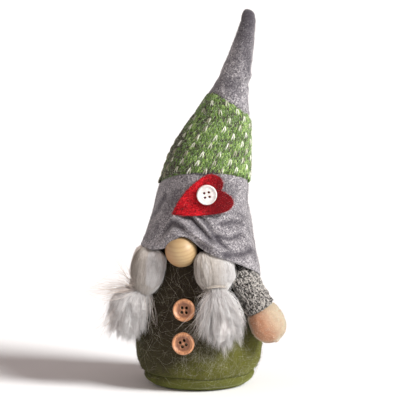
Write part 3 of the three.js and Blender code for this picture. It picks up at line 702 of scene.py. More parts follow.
HAT_NODES = ("hat_brim", "hat_knit_band", "hat_tip_base", "hat_tip")
HAT_TOP = cad_box_top()
BODY_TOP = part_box("body_cover")[1][2] / MM
BODY_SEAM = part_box("body_cover")[0][2] / MM
body_skin = Skin(("body_cover", "base_panel"), np.arange(0.4, BODY_TOP - 0.4, 1.4), (0.0, 0.0))
hat_skin = Skin(HAT_NODES, np.concatenate([np.arange(84, 239, 2.0), np.arange(247, HAT_TOP - 0.6, 1.5)]),
                wire_centre())


def slanted(seam, turn):
    return seam["height"] + seam["slant"] * np.cos(np.radians(np.asarray(turn) - seam["peak_turn"]))


def brim_edge(turn):
    edge = slanted(BRIM_EDGE, turn)
    for middle, rise, right_width, left_width in BRIM_ARCHES:
        across = turn_between(middle, turn)
        edge = edge + rise * hump(across, np.where(across < 0, right_width, left_width))
    return edge


def route_distance(turn, height, route, radius=46.0):
    """Distance from points of the unrolled hat to a route of (turn, height) points."""
    arc = math.radians(1) * radius
    here = np.stack([turn_between(0, turn) * arc, height], axis=-1)
    stops = np.array([(turn_between(0, t) * arc, h) for t, h in route], float)
    nearest = np.full(here.shape[:-1], np.inf)
    for start, end in zip(stops[:-1], stops[1:]):
        along = end - start
        share = np.clip((here - start) @ along / (along @ along), 0, 1)
        gap = np.linalg.norm(here - (start + share[..., None] * along), axis=-1)
        nearest = np.minimum(nearest, gap)
    return nearest


def brim_lift(turn, height):
    """The folds and soft waves of the brim, outwards from the frame's surface."""
    turn, height = np.broadcast_arrays(np.asarray(turn, float), np.asarray(height, float))
    lift = 0.0
    for route, rise, width in BRIM_FOLDS:
        middle = route[len(route) // 2][0]
        shifted = [(stop - middle, level) for stop, level in route]
        lift = lift + rise * hump(route_distance(turn_between(middle, turn), height, shifted), width)
    flat = hat_skin.points(turn, height)
    tuck = 3.4 * hump(turn_between(-72, turn), 26) * hump(height - brim_edge(turn), 22)
    return lift + 0.7 * lumps(flat, 15.0) + 0.35 * lumps(flat, 6.0, 3.3) - 0.4 - tuck


def crease_painted_shade(points):
    """Painted shade: darker felt inside the creases of the brim, where shade falls."""
    turn = np.degrees(np.arctan2(points[:, 0], -points[:, 1]))
    tone = 0.0
    for route, rise, width in BRIM_FOLDS:
        if rise < 0:
            tone = tone + 0.9 * hump(route_distance(turn, points[:, 2], route), width * 0.8)
    return np.clip(tone, 0, 1) * (np.abs(turn) < 90)


# ---------------------------------------------------------------- hat


def felt_rings(top_at, bottom_at, rows, columns, lift_at, inner_rows=14, thickness=FELT):
    """Rings of a felt wall: down its inside from the top, round the hem and up its outside."""
    turns = even_turns(columns)
    top, bottom = top_at(turns), bottom_at(turns)
    inner = [(share, -thickness, 0.0) for share in np.linspace(1, 0, inner_rows)]
    hem = [(0.0, -thickness / 2 * (1 + math.cos(a)), -thickness / 2 * math.sin(a))
           for a in np.radians((30, 60, 90, 120, 150))]
    outer = [(share, 0.0, 0.0) for share in np.linspace(0, 1, rows)]
    rings = []
    for share, lift, drop in inner + hem + outer:
        height = bottom + (top - bottom) * share
        rings.append(hat_skin.points(turns, height + drop, lift_at(turns, height) + lift))
    return rings


def make_brim():
    def lift_at(turn, height):
        seam = slanted(KNIT_SEAM, turn)
        edge = brim_edge(turn)
        hem_roll = 0.5 * hump(height - edge - 1.5, 1.6)
        return brim_lift(turn, height) + hem_roll - SEAM_DIP * hump(height - seam, 1.1)

    rings = felt_rings(lambda t: slanted(KNIT_SEAM, t), brim_edge, 84, 400, lift_at)
    points, quads, triangles = skin_mesh(rings, loop=True)
    # the tone is painted shade in the brim's creases
    obj = new_object("felt_brim", points, quads, triangles, crease_painted_shade(points))
    dress(obj, GREY_FELT, "gnome_body", "grey_felt", "hat_brim")
    return obj


def make_tip():
    """One felt cone from the knit's upper seam to the tip."""
    def lift_at(turn, height):
        flat = hat_skin.points(turn, height)
        seam = slanted(TIP_SEAM, turn)
        crease = 0.55 * hump(height - 243 - 3 * np.cos(np.radians(turn + 60)), 2.2)
        waves = 0.55 * lumps(flat * (1, 1, 0.4), 7.0, 1.7) + 0.25 * lumps(flat, 3.5, 9.1)
        back_seam = 0.5 * hump(turn_between(190, turn), 4.0)
        return waves - crease - back_seam - SEAM_DIP * hump(height - seam, 1.1)

    columns = 150
    turns = even_turns(columns)
    top = HAT_TOP - 1.4
    rings = felt_rings(lambda t: np.full_like(t, top - 6.0), lambda t: slanted(TIP_SEAM, t), 70, columns,
                       lift_at, 20)
    crown = []
    for angle in np.radians((15, 30, 45, 58, 70, 80)):
        share = math.cos(angle)
        height = top - 6.0 + 6.6 * math.sin(angle)
        base = hat_skin.points(turns, np.full(columns, top - 6.0), lift_at(turns, top - 6.0))
        middle = base.mean(axis=0)
        drift = np.array([0.9 * math.sin(angle), 0, height - top + 6.0])
        crown.append(middle + (base - middle) * share + drift)
    points, quads, triangles = skin_mesh(rings + crown, poles=(True, True))
    height = points[:, 2]
    # the tone darkens the felt in cloudy patches and towards the top of the tip
    clouds = lumps(points * (1, 1, 0.6), 9.0, 6.4) + (height - 268) / 50
    dark_clouds_and_top = 0.6 * smoothstep(clouds, -0.1, 0.7) + 0.3 * smoothstep(height, 272, 296)
    obj = new_object("felt_tip", points, quads, triangles, dark_clouds_and_top)
    dress(obj, GREY_FELT, None, "grey_felt", "hat_tip", "hat_tip_base")
    low = hat_skin.points(0, 238.0, share=0.0) * MM
    high = hat_skin.points(0, 248.0, share=0.0) * MM
    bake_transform(obj)
    return obj


def make_knit_wall():
    """The cloth behind the stitches."""
    def lift_at(turn, height):
        edges = hump(height - slanted(KNIT_SEAM, turn), 1.3) + hump(height - slanted(TIP_SEAM, turn), 1.3)
        return -0.75 - 0.5 * edges

    rings = felt_rings(lambda t: slanted(TIP_SEAM, t) - 0.3, lambda t: slanted(KNIT_SEAM, t) + 0.6, 40, 180,
                       lift_at, 10, 1.4)
    # painted shade: the backing's low tone darkens the gaps between the stitches
    obj = new_object("knit_backing", *skin_mesh(rings, loop=True), tone=np.full(55 * 180, 0.3))
    return dress(obj, GREEN_YARN, "gnome_body", "green_knit", "hat_knit_band")


def shaded_side(points):
    """How far points of the knit lie on its -X side, away from the key light, where it is painted brownish
    as shade.
    """
    turn = np.degrees(np.arctan2(points[:, 0], -points[:, 1]))
    return smoothstep(-turn, -12, 38) * (1 - smoothstep(-turn, 120, 170))


def stitch_legs(turns, heights, span, foot, rng):
    """Paths of the two slanted legs of each stitch, which meet at its top."""
    share = np.linspace(0, 1, 5)
    slip = rng.uniform(-0.18, 0.18, (2, len(turns), 1))
    paths = []
    for sign in (-1, 1):
        spread = sign * STITCH["width"] * (foot + (0.07 - foot) * share)
        height = heights[:, None] + span * (share - 0.5) + slip[1] + rng.uniform(-0.15, 0.15, slip[1].shape)
        radius = hat_skin.radius(turns[:, None], height)
        aside = spread + slip[0] + rng.uniform(-0.12, 0.12, slip[0].shape)
        turn = turns[:, None] + np.degrees(aside / radius)
        arch = 0.75 * np.sin(math.pi * np.clip(share * 0.86 + 0.10, 0, 1))
        lift = -0.35 + arch + rng.uniform(-0.1, 0.15, slip[0].shape)
        paths.append(hat_skin.points(turn, height, lift))
    return np.concatenate(paths)


def make_stitches():
    rng = np.random.default_rng(11)
    low = KNIT_SEAM["height"] - KNIT_SEAM["slant"]
    high = TIP_SEAM["height"] + TIP_SEAM["slant"]
    groups = {False: [], True: []}
    for course, height in enumerate(np.arange(low, high, STITCH["height"])):
        radius = float(hat_skin.radius(KNIT_GRAIN_TURN, height))
        half = int(math.pi * radius / STITCH["width"])
        for wale in range(-half, half + 1):
            turn = KNIT_GRAIN_TURN + math.degrees(wale * STITCH["width"] / radius)
            inside = slanted(KNIT_SEAM, turn) + 1.4 < height < slanted(TIP_SEAM, turn) - 1.0
            if inside:
                is_fleck = course % 3 == 1 and (wale + (course // 3 % 2) * 2) % 5 == 0
                groups[is_fleck].append((turn, height))
    groups[False] += groups[True]
    for is_fleck, name, material, span, foot, yarn in (
        (False, "knit_stitches", GREEN_YARN, STITCH["span"], 0.34, STITCH["yarn"]),
        (True, "knit_flecks", PALE_YARN, STITCH["fleck_span"], 0.50, STITCH["fleck_yarn"]),
    ):
        turns, heights = np.array(groups[is_fleck]).T
        paths = stitch_legs(turns, heights, span, foot, rng)
        swell = np.sin(math.pi * np.linspace(0.16, 0.94, 5)) ** 0.6
        radii = yarn * swell[None] * rng.uniform(0.85, 1.15, (len(paths), 1))
        points, quads, triangles = tubes(paths, radii, 4)
        if is_fleck:
            points = points + 0.55 * unit(points * (1, 1, 0))
        mottle = lumps(paths.mean(axis=1), 8.0, 4.0) + rng.normal(0, 0.9, len(paths))
        # painted shade: stitches on the -X side, away from the key light, are toned darker and browner
        painted_shade = 0.62 * shaded_side(paths.mean(axis=1)) * (0.8 if is_fleck else 1.0)
        tone = np.repeat(np.clip(0.46 + 0.30 * mottle - painted_shade, 0, 1), len(points) // len(paths))
        dress(new_object(name, points, quads, triangles, tone), material, "gnome_body", "green_knit")


def surface_fuzz(name, skin, turn_range, height_range, count, length, width, seed, lift_at=None,
                 lift=(0.0, 1.0), curl=0.5, downward=0.0):
    """Short curly fibres scattered over a skin, lying close to it."""
    rng = np.random.default_rng(seed)
    turns = rng.uniform(*turn_range, count)
    low, high = height_range(turns) if callable(height_range) else height_range
    heights = rng.uniform(low, high, count)
    steps = 4
    share = np.linspace(0, 1, steps)
    heading = rng.uniform(0, 2 * math.pi, (count, 1)) + curl * rng.normal(0, 1, (count, 1)) * share
    reach = rng.uniform(0.5, 1.0, (count, 1)) * length * share
    radius = np.maximum(skin.radius(turns, heights), 2.0)[:, None]
    turn = turns[:, None] + np.degrees(reach * np.cos(heading) / radius)
    height = heights[:, None] + reach * np.sin(heading) - downward * reach
    rise = lift[0] + (lift[1] - lift[0]) * rng.uniform(0.2, 1.0, (count, 1)) * share
    if lift_at:
        rise = rise + lift_at(turn, height)
    return strands(name, skin.points(turn, height, rise), width, rng)


def make_hat_fuzz():
    def brim_heights(turn):
        return brim_edge(turn) + 1.0, slanted(KNIT_SEAM, turn) - 1.5

    brim = surface_fuzz("brim_fuzz", hat_skin, (0, 360), brim_heights, 7000, 3.2, 0.11, 21, brim_lift,
                        (-0.05, 0.9), 1.2)
    dress(brim, FELT_FIBRE, "gnome_body", "grey_felt")
    tip = surface_fuzz("tip_fuzz", hat_skin, (0, 360), (249.0, HAT_TOP - 8), 1300, 2.6, 0.11, 22, None,
                       (0.0, 0.9), 1.2)
    dress(tip, FELT_FIBRE, "hat_tip", "grey_felt")

    def knit_heights(turn):
        return slanted(KNIT_SEAM, turn) + 1.5, slanted(TIP_SEAM, turn) - 1.5

    knit = surface_fuzz("knit_fuzz", hat_skin, (0, 360), knit_heights, 10500, 3.0, 0.12, 23, None,
                        (0.3, 1.8), 1.6)
    dress(knit, YARN_FIBRE, "gnome_body", "green_knit")


# ---------------------------------------------------------------- heart and buttons


def bezier(p0, p1, p2, p3, count):
    t = np.linspace(0, 1, count, endpoint=False)[:, None]
    p0, p1, p2, p3 = (np.array(p, float) for p in (p0, p1, p2, p3))
    return (1 - t) ** 3 * p0 + 3 * (1 - t) ** 2 * t * p1 + 3 * (1 - t) * t ** 2 * p2 + t ** 3 * p3


def heart_outline():
    """The heart's flat outline, anticlockwise from its point, which is at the origin."""
    lower = [((0, 0), (5, -3.4), (22, -13.6), (35, -16.6), 30),
             ((35, -16.6), (40.5, -18), (44.4, -14.5), (44.2, -9.8), 18),
             ((44.2, -9.8), (44.1, -6.5), (42.6, -2.8), (40.5, 0), 14)]
    first = np.concatenate([bezier(*segment) for segment in lower])
    second = first[1:][::-1] * (1, -1)
    outline = np.concatenate([first, [[40.5, 0.0]], second])
    leaning = 0.28 * np.maximum(outline[:, 1] - 5.0, 0.0)
    return outline - np.stack([leaning, np.zeros(len(outline))], -1)


def on_brim(points, lift):
    """Points of the heart's plane, laid on the hat."""
    along, across = points[..., 0] - HEART["middle"], points[..., 1]
    climb = math.radians(HEART["climb"])
    height = HEART["height"] + along * math.sin(climb) + across * math.cos(climb)
    sideways = along * math.cos(climb) - across * math.sin(climb)
    turn = HEART["turn"] + np.degrees(sideways / hat_skin.radius(HEART["turn"], height))
    return hat_skin.points(turn, height, lift), turn, height


def heart_sides(points):
    """Distances of flat points of the heart to the right of and above its middle, as it is worn."""
    along, across = points[..., 0] - HEART["middle"], points[..., 1]
    climb = math.radians(HEART["climb"])
    rightward = along * math.cos(climb) - across * math.sin(climb)
    upward = along * math.sin(climb) + across * math.cos(climb)
    return rightward, upward


def heart_lift(points):
    """How far the felt stands off the hat: its button presses the middle down and both sides curl out."""
    rightward, upward = heart_sides(points)
    right = 0.26 * np.maximum(rightward - 3.0, 0.0)
    left = 0.26 * np.maximum(-rightward - 1.0, 0.0) * smoothstep(upward, -13.0, 0.0)
    top = 0.08 * np.maximum(upward - 6.0, 0.0)
    wave = 0.3 * lumps(points @ np.array([[1, 0, 0], [0, 1, 0]]), 9.0, 5.5)
    return HEART["lift"] + right + left + top + wave


def make_heart():
    outline = heart_outline()
    centre = np.array([HEART["middle"], 0.0])
    half = HEART["thickness"] / 2
    scales = np.linspace(0.04, 0.985, 16)
    edge = [(1.0 - 0.015 + 0.015 * math.sin(a), half - half * math.cos(a))
            for a in np.radians((30, 60, 90, 120, 150))]
    layers = [(s, 0.0) for s in scales] + edge + [(s, 2 * half) for s in scales[::-1]]
    rings = []
    for scale, height in layers:
        flat = centre + (outline - centre) * scale
        rings.append(on_brim(flat, heart_lift(flat) + height)[0])
    points, quads, triangles = skin_mesh(rings, poles=(True, True))
    flats = np.concatenate([centre + (outline - centre) * scale for scale, _ in layers])
    # painted shade: the heart's right part is toned darker
    rightward = np.append(heart_sides(flats)[0], [0.0, 0.0])
    obj = new_object("felt_heart", points, quads, triangles, 0.85 * smoothstep(rightward, -4.0, 12.0))
    dress(obj, RED_FELT, "gnome_body", "red_felt", "heart_applique")
    rng = np.random.default_rng(31)
    count = 1500
    pick = rng.integers(0, len(outline), count)
    inward = np.where(rng.random(count) < 0.45, 1.0, np.sqrt(rng.random(count)))
    start = centre + (outline[pick] - centre) * inward[:, None]
    heading = rng.uniform(0, 2 * math.pi, count)
    share = np.linspace(0, 1, 4)
    step = np.stack([np.cos(heading), np.sin(heading)], -1)
    flat = start[:, None] + step[:, None] * share[:, None] * rng.uniform(0.8, 1.9, (count, 1, 1))
    rise = heart_lift(start)[:, None] + 2 * half + share * rng.uniform(-0.2, 0.7, (count, 1))
    fuzz = strands("heart_fuzz", on_brim(flat, rise)[0], 0.11, rng)
    dress(fuzz, RED_FIBRE, "gnome_body", "red_felt")


def button_place(node, spin):
    """A button's axes and the middle of its back, from its node's flattest direction."""
    points = node_points(node)
    middle = points.mean(axis=0)
    normal = np.linalg.svd(points - middle)[2][2]
    outward = np.array([middle[0], middle[1], 0.0])
    normal = normal if normal @ outward > 0 else -normal
    low, high = ((points - middle) @ normal).min(), ((points - middle) @ normal).max()
    rim = (points - middle) @ normal
    centre = points[rim < low + 0.3].mean(axis=0)
    across = unit(np.cross([0, 0, 1.0], normal))
    up = np.cross(normal, across)
    cos, sin = math.cos(math.radians(spin)), math.sin(math.radians(spin))
    axes = np.stack([across * cos + up * sin, up * cos - across * sin, normal], axis=1)
    return axes, centre, high - low


def button_profile(size):
    """Radius and height of a button's turned section, from the middle of its back to its face."""
    radius, thick, rim, dish = (size[k] for k in ("radius", "thickness", "rim", "dish"))
    edge = thick * 0.42
    side = [(radius - edge + edge * math.sin(a), edge - edge * math.cos(a))
            for a in np.radians(range(10, 90, 16))]
    crown_middle = radius - rim * 0.62
    outer = [(crown_middle + (radius - crown_middle) * math.cos(a), edge + (thick - edge) * math.sin(a))
             for a in np.radians(range(0, 91, 15))]
    floor_radius = radius - rim - dish * 0.9
    inner = [(crown_middle + (floor_radius - crown_middle) * (1 - math.cos(a)) / 1.0,
              thick - dish * (1 - math.cos(a)) ** 0.9) for a in np.radians(range(15, 91, 15))]
    floor = [(floor_radius * s, thick - dish - 0.12 * (1 - s)) for s in (0.85, 0.65, 0.45, 0.25, 0.08)]
    back = [(radius * s, 0.0) for s in (0.08, 0.3, 0.55, 0.75)]
    return back + side + outer + inner + floor


def make_button(name, node, size, spin, material, slot):
    axes, centre, _ = button_place(node, spin)
    profile = button_profile(size)
    columns = 96
    angles = np.arange(columns) * 2 * math.pi / columns
    rings = [np.stack([r * np.cos(angles), r * np.sin(angles), np.full(columns, z)], -1)
             for r, z in profile]
    points, quads, triangles = skin_mesh(rings, poles=(True, True))
    # painted shade: the dish inside the rim is toned darker
    radius = np.linalg.norm(points[:, :2], axis=1)
    inside = smoothstep(-radius, -(size["radius"] - size["rim"]), -(size["radius"] - size["rim"] - 1.6))
    tone = 0.75 * inside * (points[:, 2] > size["thickness"] * 0.5)
    grain = 0.05 * lumps(points + 40.0 * len(name), 2.5) * (points[:, 2] > 0.5)
    points[:, 2] += grain
    obj = new_object(name, points, quads, triangles, tone)
    drills = []
    for x, y in ((1, 1), (-1, 1), (-1, -1), (1, -1)):
        few = angles[::4]
        ring = np.stack([size["hole"] * np.cos(few), size["hole"] * np.sin(few), 0 * few], -1)
        middle = np.array([x, y, 0]) * size["spread"]
        drills.append(skin_mesh([ring + middle + (0, 0, z) for z in (-3.0, 9.0)], poles=(True, True)))
    cutters = []
    for index, (p, q, t) in enumerate(drills):
        cutters.append(new_object(f"drill_{index}", p, q, t))
    for cutter in cutters:
        tool = obj.modifiers.new("hole", "BOOLEAN")
        tool.object, tool.operation, tool.solver = cutter, "DIFFERENCE", "EXACT"
    bpy.context.view_layer.update()
    mesh = bpy.data.meshes.new_from_object(obj.evaluated_get(bpy.context.evaluated_depsgraph_get()))
    obj.modifiers.clear()
    obj.data = mesh
    for cutter in cutters:
        bpy.data.objects.remove(cutter)
    local = np.array([v.co[:] for v in mesh.vertices]) / MM
    mesh.vertices.foreach_set("co", ((local @ axes.T + centre) * MM).ravel())
    mesh.update()
    return dress(obj, material, "gnome_body", slot, node)


def make_nose():
    """The bead: a fine sphere whose back is pressed flat against the body."""
    low, high = (np.array(corner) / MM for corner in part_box("nose_ball"))
    radius = (high[2] - low[2]) / 2
    centre = np.array([(low[0] + high[0]) / 2, low[1] + radius, (low[2] + high[2]) / 2])
    rows, columns = 60, 96
    lat = np.linspace(-88.5, 88.5, rows)
    angles = np.arange(columns) * 2 * math.pi / columns
    rings = [radius * np.stack([math.cos(a) * np.cos(angles), math.cos(a) * np.sin(angles),
             np.full(columns, math.sin(a))], -1) for a in np.radians(lat)]
    points, quads, triangles = skin_mesh(rings, poles=(True, True))
    points = points * (1 + 0.004 * lumps(points, 9.0, 2.2)[:, None]) + centre
    turn = np.degrees(np.arctan2(points[:, 0], -points[:, 1]))
    wall = body_skin.points(turn, points[:, 2], 0.35)
    behind = np.linalg.norm(points[:, :2], axis=1) < np.linalg.norm(wall[:, :2], axis=1)
    points[behind] = wall[behind]
    # painted shade on the lower left of the bead, away from the key light
    painted_shade_side = (centre - points) @ (RIGHTWARD + 0.5 * UPWARD) / radius
    obj = new_object("bead_nose", points, quads, triangles, 0.9 * smoothstep(painted_shade_side, 0.1, 1.1))
    return dress(obj, NOSE_WOOD, "gnome_body", "nose_wood", "nose_ball")


# ---------------------------------------------------------------- body


def body_lift(turn, height):
    """Soft lumps of the stuffed body, gathered into its bottom seam."""
    flat = body_skin.points(turn, height)
    near_seam = hump(height - BODY_SEAM, 7.0)
    gather = 0.45 * np.cos(np.radians(np.asarray(turn) * 17) + 3 * lumps(flat, 30.0)) * near_seam
    back_seam = -0.8 * hump(turn_between(180, turn) * 0.85, 1.6) * smoothstep(height, 4, 14)
    return 0.75 * lumps(flat, 19.0, 4.2) + 0.3 * lumps(flat, 7.5, 8.8) + gather * 0.6 + back_seam


def seam_line(turn):
    angle = np.radians(np.asarray(turn, float))
    return BODY_SEAM + 0.5 * np.cos(3 * angle + 1.0) + 0.35 * np.cos(7 * angle)


def make_body():
    columns = 300
    turns = even_turns(columns)

    def ring(share, lift):
        seam = seam_line(turns)
        height = seam + (BODY_TOP - 1.5 - seam) * share
        dip = 1.7 * hump(height - seam, 1.5)
        return body_skin.points(turns, height, body_lift(turns, height) - dip + lift)

    inner = [ring(share, -PLUSH) for share in np.linspace(1, 0, 22)]
    outer_shares = np.concatenate([np.linspace(0, 0.06, 8), np.linspace(0.07, 1, 110)])
    outer = [ring(share, 0.0) for share in outer_shares]
    obj = new_object("plush_body", *skin_mesh(inner + outer, poles=(True, True)))
    dress(obj, BODY_PILE, "gnome_body", "olive_plush", "body_cover")


def make_base():
    """The base panel: flat where it stands, and bulging up to the seam."""
    columns = 240
    turns = even_turns(columns)
    foot = 33.0

    def disc(radius, height):
        return body_skin.points(turns, np.full(columns, 1.0), share=0.0) * (1, 1, 0) + np.stack(
            [radius * np.sin(np.radians(turns)), -radius * np.cos(np.radians(turns)),
             np.full(columns, height)], -1)

    def wall(share, lift):
        seam = seam_line(turns) - 0.25
        height = 0.9 + (seam - 0.9) * share
        bulge = 1.0 * math.sin(math.pi * share)
        dip = 1.0 * hump(height - seam, 1.3)
        spread = np.clip(body_lift(turns, height), -0.8, 0.8) * share
        return body_skin.points(turns, height, spread + bulge - dip + lift)

    outer = [disc(foot * s, 0.0) for s in (0.02, 0.3, 0.6, 0.85, 0.97, 1.0)]
    outer += [wall(share, 0.0) for share in np.linspace(0.02, 1, 26)]
    inner = [wall(share, -PLUSH) for share in np.linspace(1, 0.35, 8)]
    inner += [disc(foot * s, PLUSH * 0.8) for s in (0.93, 0.6, 0.3, 0.02)]
    obj = new_object("plush_base", *skin_mesh(outer + inner, poles=(True, True)))
    dress(obj, BASE_PILE, "gnome_body", "green_plush", "base_panel")


def pile_fibres(name, count, low, high, seed, length=2.0, green=0.0):
    """Short plush pile, leaning down and brushed into patches."""
    rng = np.random.default_rng(seed)
    turns = rng.uniform(0, 360, count)
    heights = rng.uniform(low, high, count)
    share = np.linspace(0, 1, 3)
    flat = body_skin.points(turns, heights)
    lean = 0.7 * lumps(flat, 12.0, 6.1) + rng.normal(0, 0.35, count)
    size = rng.uniform(0.6, 1.0, (count, 1)) * length
    reach = size * share
    radius = body_skin.radius(turns, heights)[:, None]
    turn = turns[:, None] + np.degrees(reach * 0.8 * lean[:, None] / radius)
    height = heights[:, None] - reach * 0.5 * rng.uniform(-0.6, 1.0, (count, 1))
    lift = body_lift(turn, np.maximum(height, 0.3)) + reach * rng.uniform(0.45, 0.9, (count, 1)) - 0.1
    height = np.maximum(height, 0.25)
    patch = lumps(flat, 9.0, 2.4) + 0.6 * lumps(flat, 3.0, 7.7)
    # painted light and shade: fibres low down and on the lit +X side take greener tones, those higher up
    # browner ones
    sideways = 0.55 * body_skin.radius(turns, heights) * np.sin(np.radians(turns))
    lower = smoothstep(sideways - heights - 6 * patch, -54, 8)
    tone = np.clip(0.04 + 0.06 * patch + 0.52 * lower + green + rng.normal(0, 0.11, count), 0, 1)
    return strands(name, body_skin.points(turn, height, lift), 0.20, rng, 0.6, tone)


def stray_fibres():
    """Long pale fibres shed by the braids, lying loose on the plush front."""
    rng = np.random.default_rng(41)
    spots = [(-42, 60, 14, 16, 70), (-25, 40, 20, 18, 50), (20, 42, 14, 14, 230), (38, 32, 16, 10, 170),
             (5, 82, 14, 12, 50), (0, 22, 40, 12, 60), (70, 25, 30, 14, 40), (180, 50, 90, 30, 50)]
    turns = np.concatenate([rng.normal(t, dt, n) for t, h, dt, dh, n in spots])
    heights = np.clip(np.concatenate([rng.normal(h, dh, n) for t, h, dt, dh, n in spots]), 6, 104)
    count = len(turns)
    steps = 9
    share = np.linspace(0, 1, steps)
    length = rng.gamma(3.0, 4.2, (count, 1)) + 4
    heading = rng.uniform(0, 2 * math.pi, (count, 1)) + rng.normal(0, 0.9, (count, 1)) * share
    heading = heading + 0.3 * np.sin(share * 7 + rng.uniform(0, 6, (count, 1)))
    stride = length / (steps - 1)
    across = np.cumsum(np.cos(heading) * stride, axis=1)
    rise = np.cumsum(np.sin(heading) * stride, axis=1)
    height = np.clip(heights[:, None] + rise, 3.5, 106)
    turn = turns[:, None] + np.degrees(across / body_skin.radius(turns, heights)[:, None])
    lift = body_lift(turn, height) + 1.2 + rng.uniform(0.0, 1.6, (count, 1)) * np.sin(share * math.pi)
    obj = strands("stray_fibres", body_skin.points(turn, height, lift), 0.085, rng, 0.5)
    dress(obj, STRAY_FIBRE, "gnome_body", "white_fur")


# ---------------------------------------------------------------- arms


def make_arm(side):
    body = f"{side}_arm"
    joint = f"{side}_arm_lift"
    sleeve = limb_skin([f"{side}_sleeve"], joint, f"{side}_sleeve", 22)
    hand = limb_skin([f"{side}_hand"], joint, f"{side}_hand", 26, (0.02, 0.0))
    make_sleeve(side, body, sleeve, ARM_SEEDS[side])
    make_hand(side, body, hand, ARM_SEEDS[side])


def sleeve_lift(skin, turn, height, seed):
    flat = skin.points(turn, height)
    along = (skin.high - height) / (skin.high - skin.low)
    folds = 0.55 * np.sin(along * 19 + 2.2 * lumps(flat, 12.0, seed)) * smoothstep(along, 0.15, 0.4)
    return 0.5 * lumps(flat, 6.0, seed + 0.5) + folds * 0.5 + 0.25 * lumps(flat, 2.2, seed + 1.5)


def make_sleeve(side, body, skin, seed):
    columns = 120
    turns = even_turns(columns)
    span = skin.high - skin.low

    def ring(share, lift):
        height = skin.low + span * share
        hem = -0.8 * hump(share * span, 1.2)
        close = 1 - smoothstep(share, 0.86, 1.0)
        bulge = close * (sleeve_lift(skin, turns, height, seed) + lift + hem)
        return skin.points(turns, np.full(columns, height), bulge)

    inner = [ring(share, -1.7) for share in np.linspace(0.9, 0.0, 12)]
    outer_shares = np.concatenate([np.linspace(0, 0.9, 52), np.linspace(0.91, 1.0, 8)])
    outer = [ring(share, 0.0) for share in outer_shares]
    obj = new_object(f"{side}_tweed_sleeve", *skin_mesh(inner + outer, poles=(True, True)))
    dress(obj, TWEED, body, "tweed", f"{side}_sleeve")
    for index, (name, material, count, lift) in enumerate(BOUCLE_COATS):
        loops = boucle(skin, count, lift, seed + 3 + index, seed)
        dress(new_object(f"{side}_boucle_{name}", *loops), material, body, "tweed")


def boucle(skin, count, lift, seed, sleeve_seed):
    """Small curled loops of yarn over a sleeve."""
    rng = np.random.default_rng(seed)
    steps = 7
    share = np.linspace(0, 1, steps)
    turns = rng.uniform(0, 360, count)
    heights = rng.uniform(skin.low + 1.0, skin.high - 1.5, count)
    size = rng.uniform(0.5, 1.5, (count, 1))
    start = rng.uniform(0, 2 * math.pi, (count, 1))
    sweep = rng.uniform(1.0, 4.0, (count, 1))
    across = 0.8 * size * np.cos(start + sweep * share) + rng.normal(0, 0.5, (count, 1)) * share
    rise = 1.5 * size * np.sin(start + sweep * share) + rng.normal(0, 1.2, (count, 1)) * share
    radius = np.maximum(skin.radius(turns, heights), 4.0)[:, None]
    height = np.clip(heights[:, None] + rise, skin.low + 0.3, skin.high - 0.5)
    turn = turns[:, None] + np.degrees(across / radius)
    bulge = lift + 0.45 * np.sin(share * math.pi * 2 + start) + 0.2
    paths = skin.points(turn, height, bulge + sleeve_lift(skin, turn, height, sleeve_seed))
    radii = rng.uniform(0.12, 0.27, (count, 1)) * (1 - 0.4 * share)
    return tubes(paths, radii, 3)


def hand_lift(skin, turn, height, seed):
    flat = skin.points(turn, height)
    along = (skin.high - height) / (skin.high - skin.low)
    pinch = -1.1 * hump(turn_between(180, turn), 14) * smoothstep(along, 0.72, 1.0)
    return 0.5 * lumps(flat, 9.0, seed + 0.3) + 0.18 * lumps(flat, 3.0, seed + 1.3) + pinch


def make_hand(side, body, skin, seed):
    columns = 130
    turns = even_turns(columns)
    span = skin.high - skin.low

    def ring(share):
        height = skin.low + span * share
        cuff = -0.9 * hump((1 - share) * span, 1.0)
        open_share = smoothstep(share, 0.0, 0.08)
        bulge = open_share * (hand_lift(skin, turns, height, seed) + cuff)
        return skin.points(turns, np.full(columns, height), bulge)

    outer_shares = np.concatenate([np.linspace(0.004, 0.12, 14), np.linspace(0.13, 0.995, 50)])
    cap = skin.points(turns, np.full(columns, skin.high), share=0.5)
    rings = [ring(share) for share in outer_shares] + [cap]
    points, quads, triangles = skin_mesh(rings, poles=(True, True))
    # painted light: the outer side of each hand is washed out to cream through its tone
    outward = (points - points.mean(axis=0)) @ (RIGHTWARD + 0.6 * UPWARD) * (1 if side == "left" else -1)
    obj = new_object(f"{side}_fleece_hand", points, quads, triangles, smoothstep(outward, -6.0, 14.0))
    dress(obj, FLEECE, body, "peach_fleece", f"{side}_hand")
    heights = (skin.low + 1.2, skin.high - 0.8)
    fuzz = surface_fuzz(f"{side}_hand_fuzz", skin, (0, 360), heights, 3600, 1.5, 0.12, seed + 8,
                        lambda t, h: hand_lift(skin, t, h, seed), (0.0, 0.75), 1.0)
    dress(fuzz, FLEECE_FIBRE, body, "peach_fleece")


# ---------------------------------------------------------------- braids


